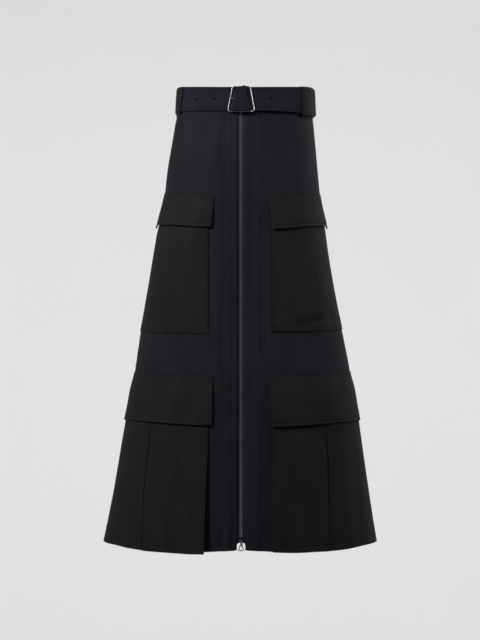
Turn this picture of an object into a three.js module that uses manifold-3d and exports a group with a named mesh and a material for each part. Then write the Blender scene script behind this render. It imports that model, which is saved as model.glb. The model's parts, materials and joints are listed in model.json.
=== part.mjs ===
// A long A-line cargo utility skirt with its belt, filled out as when it is worn, in millimetres.
// Its front faces -Y and +Z is up. The origin is the middle of the waist on the plane of the zip,
// level with the waistband's top edge at the sides. Left and right are as the viewer sees them.
// A turn is an angle round the body seen from above: 0 at the zip, positive to the right (+X),
// 180 at the centre of the back. "Out" is a distance from the outside of the cloth body.
import * as THREE from "three";
import { mergeVertices } from "three/addons/utils/BufferGeometryUtils.js";
import Module from "manifold-3d";

const wasm = await Module();
wasm.setup();

// Thickness of each cloth, and the gaps between pieces
const PANEL_CLOTH = 1.8;
const BAND_CLOTH = 2.2;
const POCKET_CLOTH = 1.6;
const FLAP_CLOTH = 2;
const STRAP_CLOTH = 2.2;
const TUNNEL_CLOTH = 1.5;
const TAPE_CLOTH = 1;
const SEAM_GAP = 0.3;
const LAY_GAP = 0.5;

// Heights of the body
const BAND_HEIGHT = 45;
const BAND_MIDDLE = -25;
const HEM_Z = -900;
const BAND_DIP = 3.3; // the band's top edge is this much lower at the zip than at the sides
const HEM_RISE = 3; // the hem is this much higher at the zip
const HEM_RISE_TURN = 25; // and level again past this turn

// Half-sizes of the outside of the body, measured from the zip's plane
const SECTIONS = [
  { z: 0, left: 123.3, right: 140, front: 88, back: 86 },
  { z: -25, left: 124.2, right: 140.4, front: 90, back: 89 },
  { z: -60, left: 128.2, right: 142.1, front: 94, back: 97 },
  { z: -147, left: 143, right: 149.6, front: 107, back: 119 },
  { z: -210, left: 151.6, right: 156.4, front: 116, back: 130 },
  { z: -337, left: 172, right: 171.5, front: 131, back: 142 },
  { z: -465, left: 193.5, right: 195, front: 145, back: 153 },
  { z: -592, left: 216, right: 220.5, front: 159, back: 166 },
  { z: -719, left: 236, right: 238, front: 171, back: 177 },
  { z: -846, left: 258.5, right: 257.5, front: 182, back: 187 },
  { z: -900, left: 269, right: 265.5, front: 186, back: 191 },
];
const SQUARENESS = 0.03; // how far a section swells past an ellipse between its front and its side

// Soft folds that deepen from FLUTE_TOP to the hem: ridges where depth is positive, troughs below 0
const FLUTE_TOP = -250;
const FLUTES = [
  { turn: -9, spread: 5, depth: 1.5 },
  { turn: 11, spread: 6, depth: -1.2 },
  { turn: 122, spread: 9, depth: -4 },
  { turn: 143, spread: 10, depth: 6 },
  { turn: 163, spread: 8, depth: -3.5 },
  { turn: 186, spread: 11, depth: 5 },
  { turn: 212, spread: 10, depth: -5 },
  { turn: 236, spread: 9, depth: 3.5 },
];

// Facets of the cloth: rows at one set of heights, and columns no wider than this turn
const ROW_STEP = 50;
const ROW_MARGIN = 14;
const COLUMN_TURN = 5.2;

// Lines up the front, as distances from the zip at each height
const ZIP_EDGE_LEFT = [{ z: 0, x: -8 }, { z: -900, x: -8 }];
const ZIP_EDGE_RIGHT = [{ z: 0, x: 8 }, { z: -900, x: 8 }];
const FRONT_SEAM_LEFT = [{ z: 0, x: -37 }, { z: -900, x: -38.5 }];
const FRONT_SEAM_RIGHT = [{ z: 0, x: 40 }, { z: -900, x: 41.5 }];
const POCKET_FRONT_LEFT = [
  { z: -200, x: -63.3 },
  { z: -658, x: -63.3 },
  { z: -720, x: -64 },
  { z: -790, x: -67.3 },
  { z: -905, x: -69.5 },
];
const POCKET_FRONT_RIGHT = [{ z: -200, x: 60.5 }, { z: -905, x: 60.5 }];
const FLAP_FRONT_LEFT = [
  { z: -205, x: -51.6 },
  { z: -282, x: -57.4 },
  { z: -560, x: -54.8 },
  { z: -665, x: -56.4 },
];
const FLAP_FRONT_RIGHT = [
  { z: -205, x: 53.4 },
  { z: -284, x: 59.6 },
  { z: -560, x: 53.6 },
  { z: -668, x: 60 },
];
const PLEAT_LEFT = [
  { z: -655, x: -176 },
  { z: -720, x: -181.7 },
  { z: -780, x: -187.5 },
  { z: -905, x: -191.5 },
];
const PLEAT_RIGHT = [
  { z: -655, x: 165 },
  { z: -720, x: 169 },
  { z: -905, x: 171.5 },
];
const TUNNEL_FRONT_LEFT = [{ z: 0, x: -110 }, { z: -60, x: -119 }];
const TUNNEL_FRONT_RIGHT = [{ z: 0, x: 118 }, { z: -60, x: 118 }];
const SIDE_TURN = 90;
const POCKET_BACK_TURN = 93;

// Patch pockets: heights of the mouth and the lower edge, and how far the cloth bellies out
const UPPER_POCKETS = [
  { side: "left", mouth: -222, bottom: -481 },
  { side: "right", mouth: -222, bottom: -477.5 },
];
const UPPER_BELLY = 1.6;
const LOWER_POCKETS = [
  { side: "left", mouth: -574, frontDrop: 3 },
  { side: "right", mouth: -575, frontDrop: 0.5 },
];
const LOWER_STAND = 2.4; // how far the loose front edge of a lower pocket stands off at the hem
const PLEAT_LIP = 1.2; // the front half of a lower pocket stands over the side half at the pleat

// Flaps: the sewn top edge and the free lower edge, which stands off the pocket
const FLAPS = [
  { level: "upper", side: "left", top: -211, bottom: -274, frontDrop: 5, backDrop: 4, stand: 4 },
  { level: "upper", side: "right", top: -212.5, bottom: -278.5, frontDrop: 4, backDrop: 0, stand: 4.5 },
  { level: "lower", side: "left", top: -564.5, bottom: -657.5, frontDrop: 1.5, backDrop: 1.5, stand: 2 },
  { level: "lower", side: "right", top: -565.6, bottom: -660.5, frontDrop: 3.5, backDrop: 0.5, stand: 1.5 },
];
const FLAP_SEAM = 8; // the flap lies flat on the panel this far down, just above the pocket's mouth
const FLAP_BELLY = 1;
const FLAP_OVERHANG_TURN = 1; // the flap reaches this far past the pocket at the back

// Zip, lying behind the front edges
const TAPE_OUT = -2.7;
const TAPE_INNER_X = 1.6;
const TAPE_OUTER_X = 17;
const TAPE_TOP = -6;
const TAPE_BOTTOM = -881;
const CHAIN_OUT = -0.5;
const CHAIN_THICK = 1.7;
const CHAIN_HALF = 2.9;
const CHAIN_BOTTOM = -876;

// Slider and pull, in the slider's own frame: x right, y inwards, z up, origin on the front cloth
const SLIDER_Z = -876;
const SLIDER = { width: 8.4, height: 11, corner: 2.4, plate: 1.4, front: -1.2, back: 4 };
const SLIDER_POST = { width: 2.2, height: 3.6, z: -3.4 };
const HINGE_STAND = 2; // from the slider's front plate out to the pull's hinge
const BAIL = { ring: 1.75, wire: 0.6 };
const PULL_THICK = 1.6;
const PULL_EYE = { half: 2.6, hole: 1.5, bar: 0.6, depth: 4.2 };
const PULL_NECK = { half: 1.5, bottom: -8.4 };
const PULL_RING = { topHalf: 3.1, bottomHalf: 5.4, bottom: -20.5, wire: 1.9 };

// Belt strap: its level top edge, and the way it runs along the waist in (along, out), from the
// fold that holds the buckle's middle bar, round the back, through the buckle and on to its tip
const STRAP_TOP = -3.6;
const STRAP_HEIGHT = 45;
const STRAP_ON_BAND = LAY_GAP + STRAP_CLOTH / 2;
const STRAP_ON_STRAP = STRAP_ON_BAND + STRAP_CLOTH + LAY_GAP;
const STRAP_TIP_TURN = 96;
const STRAP_TIP_DROP = 2.5;
const FOLD_END = [{ along: 10.5, out: 6.7 }, { along: 6, out: 8.5 }];
const FOLD_START = { along: 7, out: 2.1 };
const BUCKLE_ROUTE = [
  { along: -23, out: STRAP_ON_BAND },
  { along: -19.4, out: 1.75 },
  { along: -17.2, out: 3.4 },
  { along: -14.6, out: 7.6 },
  { along: -11, out: 10.9 },
  { along: -5, out: 12 },
  { along: 1, out: 12.1 },
  { along: 7, out: 11.3 },
  { along: 12, out: 8.9 },
  { along: 16.5, out: 5.6 },
  { along: 20.5, out: STRAP_ON_STRAP + 0.1 },
  { along: 26, out: STRAP_ON_STRAP },
];
const HOLE_PITCH = 38;
const FIRST_HOLE = -90;
const HOLE_COUNT = 5;
const HOLE_RADIUS = 2.1;
const HOLE_REACH = 16; // each hole is cut as far out as this

// Wire buckle: a trapezoid wider at its foot, with an upright middle bar that carries the prong
const WIRE_RADIUS = 1.5;
const BUCKLE = { topHalf: 16.4, footHalf: 25.2, top: -1.4, foot: -51, corner: 4.5 };
const BUCKLE_OUT = 6.3; // at the middle bar
const BUCKLE_TILT = 1.7 / 21; // the right-hand bar stands further out, over two layers of strap
const PRONG_RADIUS = 1.1;
const PRONG_CURL = WIRE_RADIUS + SEAM_GAP + PRONG_RADIUS;
const PRONG_Z = -25.6;
const PRONG_SLOT = { width: 12, height: 5 };

// Side tunnels for the belt, from the fold over the band's top edge to the sewn foot on the panel
const TUNNELS = [
  { side: "left", backTurn: 102, strap: STRAP_ON_BAND, turnIn: -50, foot: -57.5 },
  { side: "right", backTurn: 88, strap: STRAP_ON_STRAP, turnIn: -52.4, foot: -59.5 },
];
const TUNNEL_TOP = 1.3;
const TUNNEL_LIP = -1.6;
const TUNNEL_COLUMNS = 6;

const radians = THREE.MathUtils.degToRad;
const smooth = THREE.MathUtils.smoothstep;

// Reads one column of a table of heights, by straight lines between its rows
function straightAt(rows, z, column) {
  const last = rows.length - 1;
  let row = 0;
  while (row < last - 1 && z < rows[row + 1].z) row += 1;
  const [high, low] = [rows[row], rows[row + 1]];
  const share = THREE.MathUtils.clamp((high.z - z) / (high.z - low.z), 0, 1);
  return THREE.MathUtils.lerp(high[column], low[column], share);
}

// Reads one column of the sections, by a smooth curve through its rows
function curvedAt(rows, z, column) {
  const last = rows.length - 1;
  let row = 0;
  while (row < last - 1 && z < rows[row + 1].z) row += 1;
  const slope = (i) => {
    const [above, below] = [rows[Math.max(i - 1, 0)], rows[Math.min(i + 1, last)]];
    return (below[column] - above[column]) / (below.z - above.z);
  };
  const [high, low] = [rows[row], rows[row + 1]];
  const span = low.z - high.z;
  const t = (z - high.z) / span;
  const [t2, t3] = [t * t, t * t * t];
  return (2 * t3 - 3 * t2 + 1) * high[column] + (t3 - 2 * t2 + t) * span * slope(row)
    + (3 * t2 - 2 * t3) * low[column] + (t3 - t2) * span * slope(row + 1);
}

function fluteAt(turn, z) {
  const strength = smooth(-z, -FLUTE_TOP, -HEM_Z);
  const degrees = THREE.MathUtils.radToDeg(turn);
  let depth = 0;
  for (const flute of FLUTES) {
    const off = THREE.MathUtils.euclideanModulo(degrees - flute.turn + 180, 360) - 180;
    depth += flute.depth * Math.exp(-((off / flute.spread) ** 2));
  }
  return depth * strength;
}

// A point of the body's section at a height, with its direction outwards
function sectionPoint(turn, z) {
  const [sine, cosine] = [Math.sin(turn), Math.cos(turn)];
  const width = curvedAt(SECTIONS, z, sine < 0 ? "left" : "right");
  const depth = curvedAt(SECTIONS, z, cosine > 0 ? "front" : "back");
  const swell = 1 + SQUARENESS * Math.sin(2 * turn) ** 2;
  const swellRate = 2 * SQUARENESS * Math.sin(4 * turn);
  const rateX = width * (cosine * swell + sine * swellRate);
  const rateY = depth * (sine * swell - cosine * swellRate);
  const speed = Math.hypot(rateX, rateY);
  const [x, y] = [width * sine * swell, -depth * cosine * swell];
  return { x, y, outX: rateY / speed, outY: -rateX / speed, speed };
}

function bodyPoint(turn, z, out) {
  const at = sectionPoint(turn, z);
  const reach = out + fluteAt(turn, z);
  return new THREE.Vector3(at.x + at.outX * reach, at.y + at.outY * reach, z);
}

// The turn at which the front of the body is x to the side of the zip
function turnAtX(x, z) {
  const width = curvedAt(SECTIONS, z, x < 0 ? "left" : "right");
  let turn = Math.asin(THREE.MathUtils.clamp(x / width, -1, 1));
  for (let pass = 0; pass < 8; pass += 1) {
    turn = Math.asin(THREE.MathUtils.clamp(x / width / (1 + SQUARENESS * Math.sin(2 * turn) ** 2), -1, 1));
  }
  return turn;
}

const frontLine = (rows) => (z) => turnAtX(straightAt(rows, z, "x"), z);
const turnLine = (degrees) => () => radians(degrees);
const movedAlong = (line, distance) => (z) => line(z) + distance / sectionPoint(line(z), z).speed;

const bandTop = (turn) => -BAND_DIP * Math.max(Math.cos(turn), 0) ** 2;
const bandBottom = (turn) => bandTop(turn) - BAND_HEIGHT;
function hemAt(turn) {
  const fromZip = Math.abs(THREE.MathUtils.euclideanModulo(turn + Math.PI, 2 * Math.PI) - Math.PI);
  return HEM_Z + HEM_RISE * (1 - smooth(fromZip, 0, radians(HEM_RISE_TURN)));
}

// Closes two facing grids of points, outside[column][row] and inside[column][row], into one solid
function shell(outside, inside) {
  const [columns, rows] = [outside.length, outside[0].length];
  const points = [...outside.flat(), ...inside.flat()];
  const outer = (i, j) => i * rows + j;
  const inner = (i, j) => columns * rows + i * rows + j;
  const faces = [];
  const quad = (a, b, c, d) => faces.push(a, b, c, a, c, d);
  for (let i = 0; i < columns - 1; i += 1) {
    for (let j = 0; j < rows - 1; j += 1) {
      quad(outer(i, j), outer(i, j + 1), outer(i + 1, j + 1), outer(i + 1, j));
      quad(inner(i, j), inner(i + 1, j), inner(i + 1, j + 1), inner(i, j + 1));
    }
    quad(outer(i, 0), outer(i + 1, 0), inner(i + 1, 0), inner(i, 0));
    quad(outer(i, rows - 1), inner(i, rows - 1), inner(i + 1, rows - 1), outer(i + 1, rows - 1));
  }
  for (let j = 0; j < rows - 1; j += 1) {
    quad(outer(0, j), inner(0, j), inner(0, j + 1), outer(0, j + 1));
    quad(outer(columns - 1, j), outer(columns - 1, j + 1), inner(columns - 1, j + 1), inner(columns - 1, j));
  }
  const geometry = new THREE.BufferGeometry().setFromPoints(points);
  geometry.setIndex(faces);
  return geometry;
}

// Heights of a wall's rows between its edges: its own, then the heights that every wall shares
function rowsBetween(highest, lowest, ownRows) {
  const start = Math.min(highest, ...ownRows);
  const rows = [...ownRows];
  for (let z = Math.floor(start / ROW_STEP) * ROW_STEP; z > lowest; z -= ROW_STEP) {
    if (z < start - ROW_MARGIN && z > lowest + ROW_MARGIN) rows.push(z);
  }
  return rows;
}

// A cloth wall on the body between two lines and two edges. out(across, down) places its outside.
function wall({ from, to, top, bottom, out, thickness, ownRows = [] }) {
  const [topMiddle, bottomMiddle] = [top(0, 0.5), bottom(0, 0.5)];
  const widest = Math.max(to(topMiddle) - from(topMiddle), to(bottomMiddle) - from(bottomMiddle));
  const columns = Math.max(2, Math.ceil(THREE.MathUtils.radToDeg(widest) / COLUMN_TURN));
  const between = rowsBetween(topMiddle, bottomMiddle, ownRows);
  const [outside, inside] = [[], []];
  for (let i = 0; i <= columns; i += 1) {
    const across = i / columns;
    const turnAt = (z) => THREE.MathUtils.lerp(from(z), to(z), across);
    const [topZ, bottomZ] = [top(turnAt(topMiddle), across), bottom(turnAt(bottomMiddle), across)];
    const heights = [topZ, ...between, bottomZ];
    const place = (extra) => heights.map((z) => {
      const down = THREE.MathUtils.clamp((topZ - z) / (topZ - bottomZ), 0, 1);
      return bodyPoint(turnAt(z), z, out(across, down) - extra);
    });
    outside.push(place(0));
    inside.push(place(thickness));
  }
  return shell(outside, inside);
}

function material(color, roughness, metalness = 0) {
  return new THREE.MeshStandardMaterial({ color, roughness, metalness });
}
const navyTwill = () => material(0x1d1f28, 0.88);
const blackTwill = () => material(0x1b1b1c, 0.9);
const zipTape = () => material(0x15161b, 0.85);
const nickel = () => material(0x9b9ca0, 0.32, 1);
const steel = () => material(0xb9babd, 0.25, 1);

function named(name, geometry, finish) {
  const mesh = new THREE.Mesh(geometry, finish);
  mesh.name = name;
  return mesh;
}

// A seam's line moved half the seam's gap to one side: 1 with the turn, -1 against it
const pinched = (line, side) => movedAlong(line, side * SEAM_GAP / 2);

function buildBand() {
  const lengths = [
    { name: "waistband_front_left", from: turnLine(-SIDE_TURN), to: frontLine(ZIP_EDGE_LEFT) },
    { name: "waistband_front_right", from: frontLine(ZIP_EDGE_RIGHT), to: turnLine(SIDE_TURN) },
    { name: "waistband_back", from: turnLine(SIDE_TURN), to: turnLine(360 - SIDE_TURN) },
  ];
  return lengths.map(({ name, from, to }) => named(name, wall({
    from: pinched(from, 1),
    to: pinched(to, -1),
    top: bandTop,
    bottom: bandBottom,
    out: () => 0,
    thickness: BAND_CLOTH,
    ownRows: [BAND_MIDDLE],
  }), navyTwill()));
}

function buildPanels() {
  const panels = [
    { name: "side_front_left", from: turnLine(-SIDE_TURN), to: frontLine(FRONT_SEAM_LEFT) },
    { name: "center_front_left", from: frontLine(FRONT_SEAM_LEFT), to: frontLine(ZIP_EDGE_LEFT) },
    { name: "center_front_right", from: frontLine(ZIP_EDGE_RIGHT), to: frontLine(FRONT_SEAM_RIGHT) },
    { name: "side_front_right", from: frontLine(FRONT_SEAM_RIGHT), to: turnLine(SIDE_TURN) },
    { name: "back_right", from: turnLine(SIDE_TURN), to: turnLine(180) },
    { name: "back_left", from: turnLine(180), to: turnLine(360 - SIDE_TURN) },
  ];
  return panels.map(({ name, from, to }) => named(name, wall({
    from: pinched(from, 1),
    to: pinched(to, -1),
    top: (turn) => bandBottom(turn) - SEAM_GAP,
    bottom: hemAt,
    out: () => 0,
    thickness: PANEL_CLOTH,
  }), navyTwill()));
}

// Sides of a pocket piece: its front line, and its back line, in the order of rising turn
function betweenLines(side, front, back) {
  return side === "left" ? { from: back, to: front } : { from: front, to: back };
}

const fromFront = (side, across) => (side === "left" ? 1 - across : across);
const backTurnLine = (side, degrees) => turnLine(side === "left" ? -degrees : degrees);
const POCKET_FRONTS = { left: POCKET_FRONT_LEFT, right: POCKET_FRONT_RIGHT };
const FLAP_FRONTS = { left: FLAP_FRONT_LEFT, right: FLAP_FRONT_RIGHT };
const PLEATS = { left: PLEAT_LEFT, right: PLEAT_RIGHT };
const POCKET_OUT = LAY_GAP + POCKET_CLOTH;

function buildUpperPockets() {
  return UPPER_POCKETS.map(({ side, mouth, bottom }) => named(`upper_pocket_${side}`, wall({
    ...betweenLines(side, frontLine(POCKET_FRONTS[side]), backTurnLine(side, POCKET_BACK_TURN)),
    top: () => mouth,
    bottom: () => bottom,
    out: (across, down) => POCKET_OUT + UPPER_BELLY * Math.sin(Math.PI * across) * Math.sin(Math.PI * down),
    thickness: POCKET_CLOTH,
  }), blackTwill()));
}

// The lower pocket runs on to the hem. Its loose front edge stands off and hangs a little lower,
// and a pleat halfway round parts it into two halves.
function buildLowerPockets() {
  return LOWER_POCKETS.flatMap(({ side, mouth, frontDrop }) => {
    const pleat = frontLine(PLEATS[side]);
    const towardsFront = side === "left" ? 1 : -1;
    const front = {
      ...betweenLines(side, frontLine(POCKET_FRONTS[side]), pinched(pleat, towardsFront)),
      top: () => mouth,
      bottom: (turn, across) => hemAt(turn) - frontDrop * (1 - fromFront(side, across)),
      out: (across, down) => {
        const away = fromFront(side, across);
        const looseEdge = LOWER_STAND * smooth(down, 0.25, 1) * (1 - away) ** 2;
        return POCKET_OUT + looseEdge + PLEAT_LIP * smooth(down, 0.2, 0.9) * smooth(away, 0.75, 1);
      },
      thickness: POCKET_CLOTH,
    };
    const back = {
      ...betweenLines(side, pinched(pleat, -towardsFront), backTurnLine(side, POCKET_BACK_TURN)),
      top: () => mouth,
      bottom: hemAt,
      out: () => POCKET_OUT,
      thickness: POCKET_CLOTH,
    };
    return [
      named(`lower_pocket_front_${side}`, wall(front), blackTwill()),
      named(`lower_pocket_side_${side}`, wall(back), blackTwill()),
    ];
  });
}

// A flap starts flat on the panel above the pocket's mouth and stands off towards its lower edge
function buildFlaps() {
  return FLAPS.map(({ level, side, top, bottom, frontDrop, backDrop, stand }) => {
    const atMouth = LAY_GAP + FLAP_CLOTH;
    const overPocket = POCKET_OUT + LAY_GAP + FLAP_CLOTH;
    const back = backTurnLine(side, POCKET_BACK_TURN + FLAP_OVERHANG_TURN);
    return named(`${level}_flap_${side}`, wall({
      ...betweenLines(side, frontLine(FLAP_FRONTS[side]), back),
      top: () => top,
      bottom: (turn, across) => {
        const away = fromFront(side, across);
        return bottom - frontDrop * (1 - smooth(away, 0, 0.5)) - backDrop * smooth(away, 0.8, 1);
      },
      out: (across, down) => {
        const away = fromFront(side, across);
        const sewn = FLAP_SEAM / (top - bottom);
        const rise = THREE.MathUtils.lerp(atMouth, overPocket, smooth(down, 0, sewn));
        return rise + FLAP_BELLY * smooth(down, sewn, 0.6) + stand * down ** 1.5 * (0.35 + 0.65 * away);
      },
      thickness: FLAP_CLOTH,
      ownRows: [top - FLAP_SEAM],
    }), blackTwill());
  });
}

// Distances along the waist at the middle of the strap, as turns
const STRAP_MIDDLE = STRAP_TOP - STRAP_HEIGHT / 2;
const ARC_STEPS = 720;
const waistArc = [0];
for (let i = 0; i < ARC_STEPS; i += 1) {
  const step = 2 * Math.PI / ARC_STEPS;
  waistArc.push(waistArc[i] + sectionPoint((i + 0.5) * step, STRAP_MIDDLE).speed * step);
}
const WAIST_ROUND = waistArc[ARC_STEPS];

function turnAlongWaist(along) {
  const laps = Math.floor(along / WAIST_ROUND);
  const rest = along - laps * WAIST_ROUND;
  let i = 0;
  while (i < ARC_STEPS - 1 && waistArc[i + 1] < rest) i += 1;
  const share = (rest - waistArc[i]) / (waistArc[i + 1] - waistArc[i]);
  return (laps + (i + share) / ARC_STEPS) * 2 * Math.PI;
}

function alongWaist(turn) {
  const laps = Math.floor(turn / (2 * Math.PI));
  const position = (turn / (2 * Math.PI) - laps) * ARC_STEPS;
  const i = Math.min(Math.floor(position), ARC_STEPS - 1);
  return laps * WAIST_ROUND + THREE.MathUtils.lerp(waistArc[i], waistArc[i + 1], position - i);
}

const waistPoint = (along, z, out) => bodyPoint(turnAlongWaist(along), z, out);

// The buckle's side bars lean, so beside them the strap's folds lean too
function leanAt(fromBuckle, z) {
  const halfLean = (BUCKLE.footHalf - BUCKLE.topHalf) / 2;
  const height = (z - (BUCKLE.top + BUCKLE.foot) / 2) / (BUCKLE.top - BUCKLE.foot);
  const reach = Math.abs(fromBuckle);
  const share = smooth(reach, 3, 12) * (1 - smooth(reach, 27, 50));
  return -Math.sign(fromBuckle) * share * 2 * halfLean * height;
}

// The fixed end folds round the buckle's middle bar, over, to the left and back under it
const FOLD_RADIUS = WIRE_RADIUS + SEAM_GAP + 0.15 + STRAP_CLOTH / 2;
function strapRoute() {
  const route = [...FOLD_END];
  for (let degrees = 80; degrees <= 280; degrees += 25) {
    const [c, s] = [Math.cos(radians(degrees)), Math.sin(radians(degrees))];
    route.push({ along: FOLD_RADIUS * c, out: BUCKLE_OUT + FOLD_RADIUS * s });
  }
  route.push(FOLD_START);
  for (let degrees = 8; degrees < 348; degrees += COLUMN_TURN) {
    route.push({ along: alongWaist(radians(degrees)), out: STRAP_ON_BAND });
  }
  for (const row of BUCKLE_ROUTE) route.push({ along: WAIST_ROUND + row.along, out: row.out });
  for (let degrees = 16; degrees <= STRAP_TIP_TURN; degrees += COLUMN_TURN) {
    route.push({ along: WAIST_ROUND + alongWaist(radians(degrees)), out: STRAP_ON_STRAP });
  }
  return route;
}

function strapSolid() {
  const route = strapRoute();
  const last = route.length - 1;
  const tipStart = WAIST_ROUND + BUCKLE.footHalf;
  const [outside, inside] = [[], []];
  route.forEach((row, i) => {
    const [before, after] = [route[Math.max(i - 1, 0)], route[Math.min(i + 1, last)]];
    const way = new THREE.Vector2(after.along - before.along, after.out - before.out).normalize();
    const fromBuckle = row.along > WAIST_ROUND / 2 ? row.along - WAIST_ROUND : row.along;
    const drop = STRAP_TIP_DROP * smooth(row.along, tipStart, route[last].along);
    const place = (side) => [STRAP_TOP, BAND_MIDDLE, STRAP_TOP - STRAP_HEIGHT].map((z) => {
      const along = row.along + leanAt(fromBuckle, z) - way.y * side * STRAP_CLOTH / 2;
      return waistPoint(along, z - drop, row.out + way.x * side * STRAP_CLOTH / 2);
    });
    outside.push(place(1));
    inside.push(place(-1));
  });
  return shell(outside, inside);
}

function toSolid(geometry) {
  const bare = geometry.clone();
  bare.deleteAttribute("normal");
  bare.deleteAttribute("uv");
  const merged = mergeVertices(bare, 1e-4);
  return new wasm.Manifold(new wasm.Mesh({
    numProp: 3,
    vertProperties: new Float32Array(merged.attributes.position.array),
    triVerts: new Uint32Array(merged.index.array),
  }));
}

function toGeometry(solid) {
  const { vertProperties, triVerts } = solid.getMesh();
  const geometry = new THREE.BufferGeometry();
  geometry.setAttribute("position", new THREE.BufferAttribute(new Float32Array(vertProperties), 3));
  geometry.setIndex(new THREE.BufferAttribute(new Uint32Array(triVerts), 1));
  return geometry;
}

function roundBar(radius, points, steps, sides = 10) {
  const outline = new THREE.Shape().absarc(0, 0, radius, 0, 2 * Math.PI);
  const path = new THREE.CatmullRomCurve3(points);
  const shape = { steps, extrudePath: path, curveSegments: sides, bevelEnabled: false };
  return new THREE.ExtrudeGeometry(outline, shape);
}

const bucklePoint = (along, z, lift = 0) => waistPoint(along, z, BUCKLE_OUT + BUCKLE_TILT * along + lift);

const PRONG_TIP_ALONG = -(BUCKLE.topHalf + BUCKLE.footHalf) / 2;
const PRONG_LIFT = WIRE_RADIUS + SEAM_GAP + PRONG_RADIUS;
function prongRoute() {
  const curl = [];
  for (let degrees = -110; degrees <= 90; degrees += 25) {
    const [c, s] = [Math.cos(radians(degrees)), Math.sin(radians(degrees))];
    curl.push(waistPoint(PRONG_CURL * c, PRONG_Z, BUCKLE_OUT + PRONG_CURL * s));
  }
  const shank = [0.3, 0.6, 0.9, 1].map((share) => bucklePoint(PRONG_TIP_ALONG * share, PRONG_Z, PRONG_LIFT));
  return [...curl, ...shank, bucklePoint(PRONG_TIP_ALONG - 1.6, PRONG_Z, PRONG_LIFT - 0.2)];
}

function buildBelt() {
  let strap = toSolid(strapSolid());
  const punched = [];
  for (let i = 0; i < HOLE_COUNT; i += 1) {
    const along = FIRST_HOLE + i * HOLE_PITCH;
    const low = along > 0 ? STRAP_ON_STRAP - STRAP_CLOTH / 2 - LAY_GAP / 2 : 0;
    const ends = [low, HOLE_REACH].map((out) => waistPoint(along, STRAP_MIDDLE, out));
    punched.push(roundBar(HOLE_RADIUS, ends, 1, 7));
  }
  punched.push(roundBar(PRONG_RADIUS + SEAM_GAP + 0.1, prongRoute(), 40, 7));
  for (const cutter of punched) strap = strap.subtract(toSolid(cutter));

  // A slot in the fold lets the prong's curl turn on the bar
  const slotBack = waistPoint(0, PRONG_Z, BUCKLE_OUT - PRONG_CURL - PRONG_RADIUS - SEAM_GAP).y;
  const slotFront = waistPoint(0, PRONG_Z, BUCKLE_OUT + PRONG_CURL + PRONG_RADIUS + SEAM_GAP / 2).y;
  const slot = new THREE.BoxGeometry(PRONG_SLOT.width, slotBack - slotFront, PRONG_SLOT.height);
  slot.translate(0, (slotBack + slotFront) / 2, PRONG_Z);
  strap = strap.subtract(toSolid(slot));
  return named("belt_strap", toGeometry(strap), navyTwill());
}

function buildBuckle() {
  const { topHalf, footHalf, top, foot, corner } = BUCKLE;
  const corners = [[-topHalf, top], [topHalf, top], [footHalf, foot], [-footHalf, foot]];
  const outline = new THREE.CurvePath();
  corners.forEach((first, i) => {
    const here = new THREE.Vector2(...first);
    const next = new THREE.Vector2(...corners[(i + 1) % corners.length]);
    const afterNext = new THREE.Vector2(...corners[(i + 2) % corners.length]);
    const along = next.clone().sub(here).normalize().multiplyScalar(corner);
    const turned = afterNext.clone().sub(next).normalize().multiplyScalar(corner);
    outline.add(new THREE.LineCurve(here.clone().add(along), next.clone().sub(along)));
    outline.add(new THREE.QuadraticBezierCurve(next.clone().sub(along), next, next.clone().add(turned)));
  });
  const spots = outline.getSpacedPoints(56).slice(0, -1);
  const loop = new THREE.CatmullRomCurve3(spots.map((spot) => bucklePoint(spot.x, spot.y)), true);
  const ring = new THREE.TubeGeometry(loop, 60, WIRE_RADIUS, 8, true);
  const upright = [top, (top + foot) / 2, foot].map((z) => bucklePoint(0, z));
  const bar = roundBar(WIRE_RADIUS, upright, 4, 5);
  return [
    named("buckle_frame", toGeometry(toSolid(ring).add(toSolid(bar))), nickel()),
    named("buckle_prong", roundBar(PRONG_RADIUS, prongRoute(), 40, 4), nickel()),
  ];
}

// A tunnel folds over the band's top edge, drops outside the belt and is sewn down below the band
function buildTunnels() {
  return TUNNELS.map(({ side, backTurn, strap, turnIn, foot }) => {
    const half = TUNNEL_CLOTH / 2;
    const face = strap + STRAP_CLOTH / 2 + LAY_GAP + half;
    const sewn = LAY_GAP + half;
    const profile = [
      { out: TUNNEL_LIP, z: TUNNEL_TOP },
      { out: face - 1.4, z: TUNNEL_TOP },
      { out: face - 0.3, z: TUNNEL_TOP - 0.9 },
      { out: face, z: TUNNEL_TOP - 3 },
      { out: face + 0.3, z: BAND_MIDDLE },
      { out: face, z: turnIn },
      { out: sewn, z: turnIn - 3.5 },
      { out: sewn, z: foot },
    ];
    const fronts = { left: TUNNEL_FRONT_LEFT, right: TUNNEL_FRONT_RIGHT };
    const { from, to } = betweenLines(side, frontLine(fronts[side]), backTurnLine(side, backTurn));
    const [outer, inner] = [[], []];
    for (let i = 0; i <= TUNNEL_COLUMNS; i += 1) {
      const place = (way) => profile.map(({ out, z }, row) => {
        const before = profile[Math.max(row - 1, 0)];
        const after = profile[Math.min(row + 1, profile.length - 1)];
        const run = new THREE.Vector2(after.out - before.out, after.z - before.z).normalize();
        const turn = THREE.MathUtils.lerp(from(z), to(z), i / TUNNEL_COLUMNS);
        return bodyPoint(turn, z + run.x * half * way, out - run.y * half * way);
      });
      outer.push(place(1));
      inner.push(place(-1));
    }
    return named(`belt_tunnel_${side}`, shell(outer, inner), blackTwill());
  });
}

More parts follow.
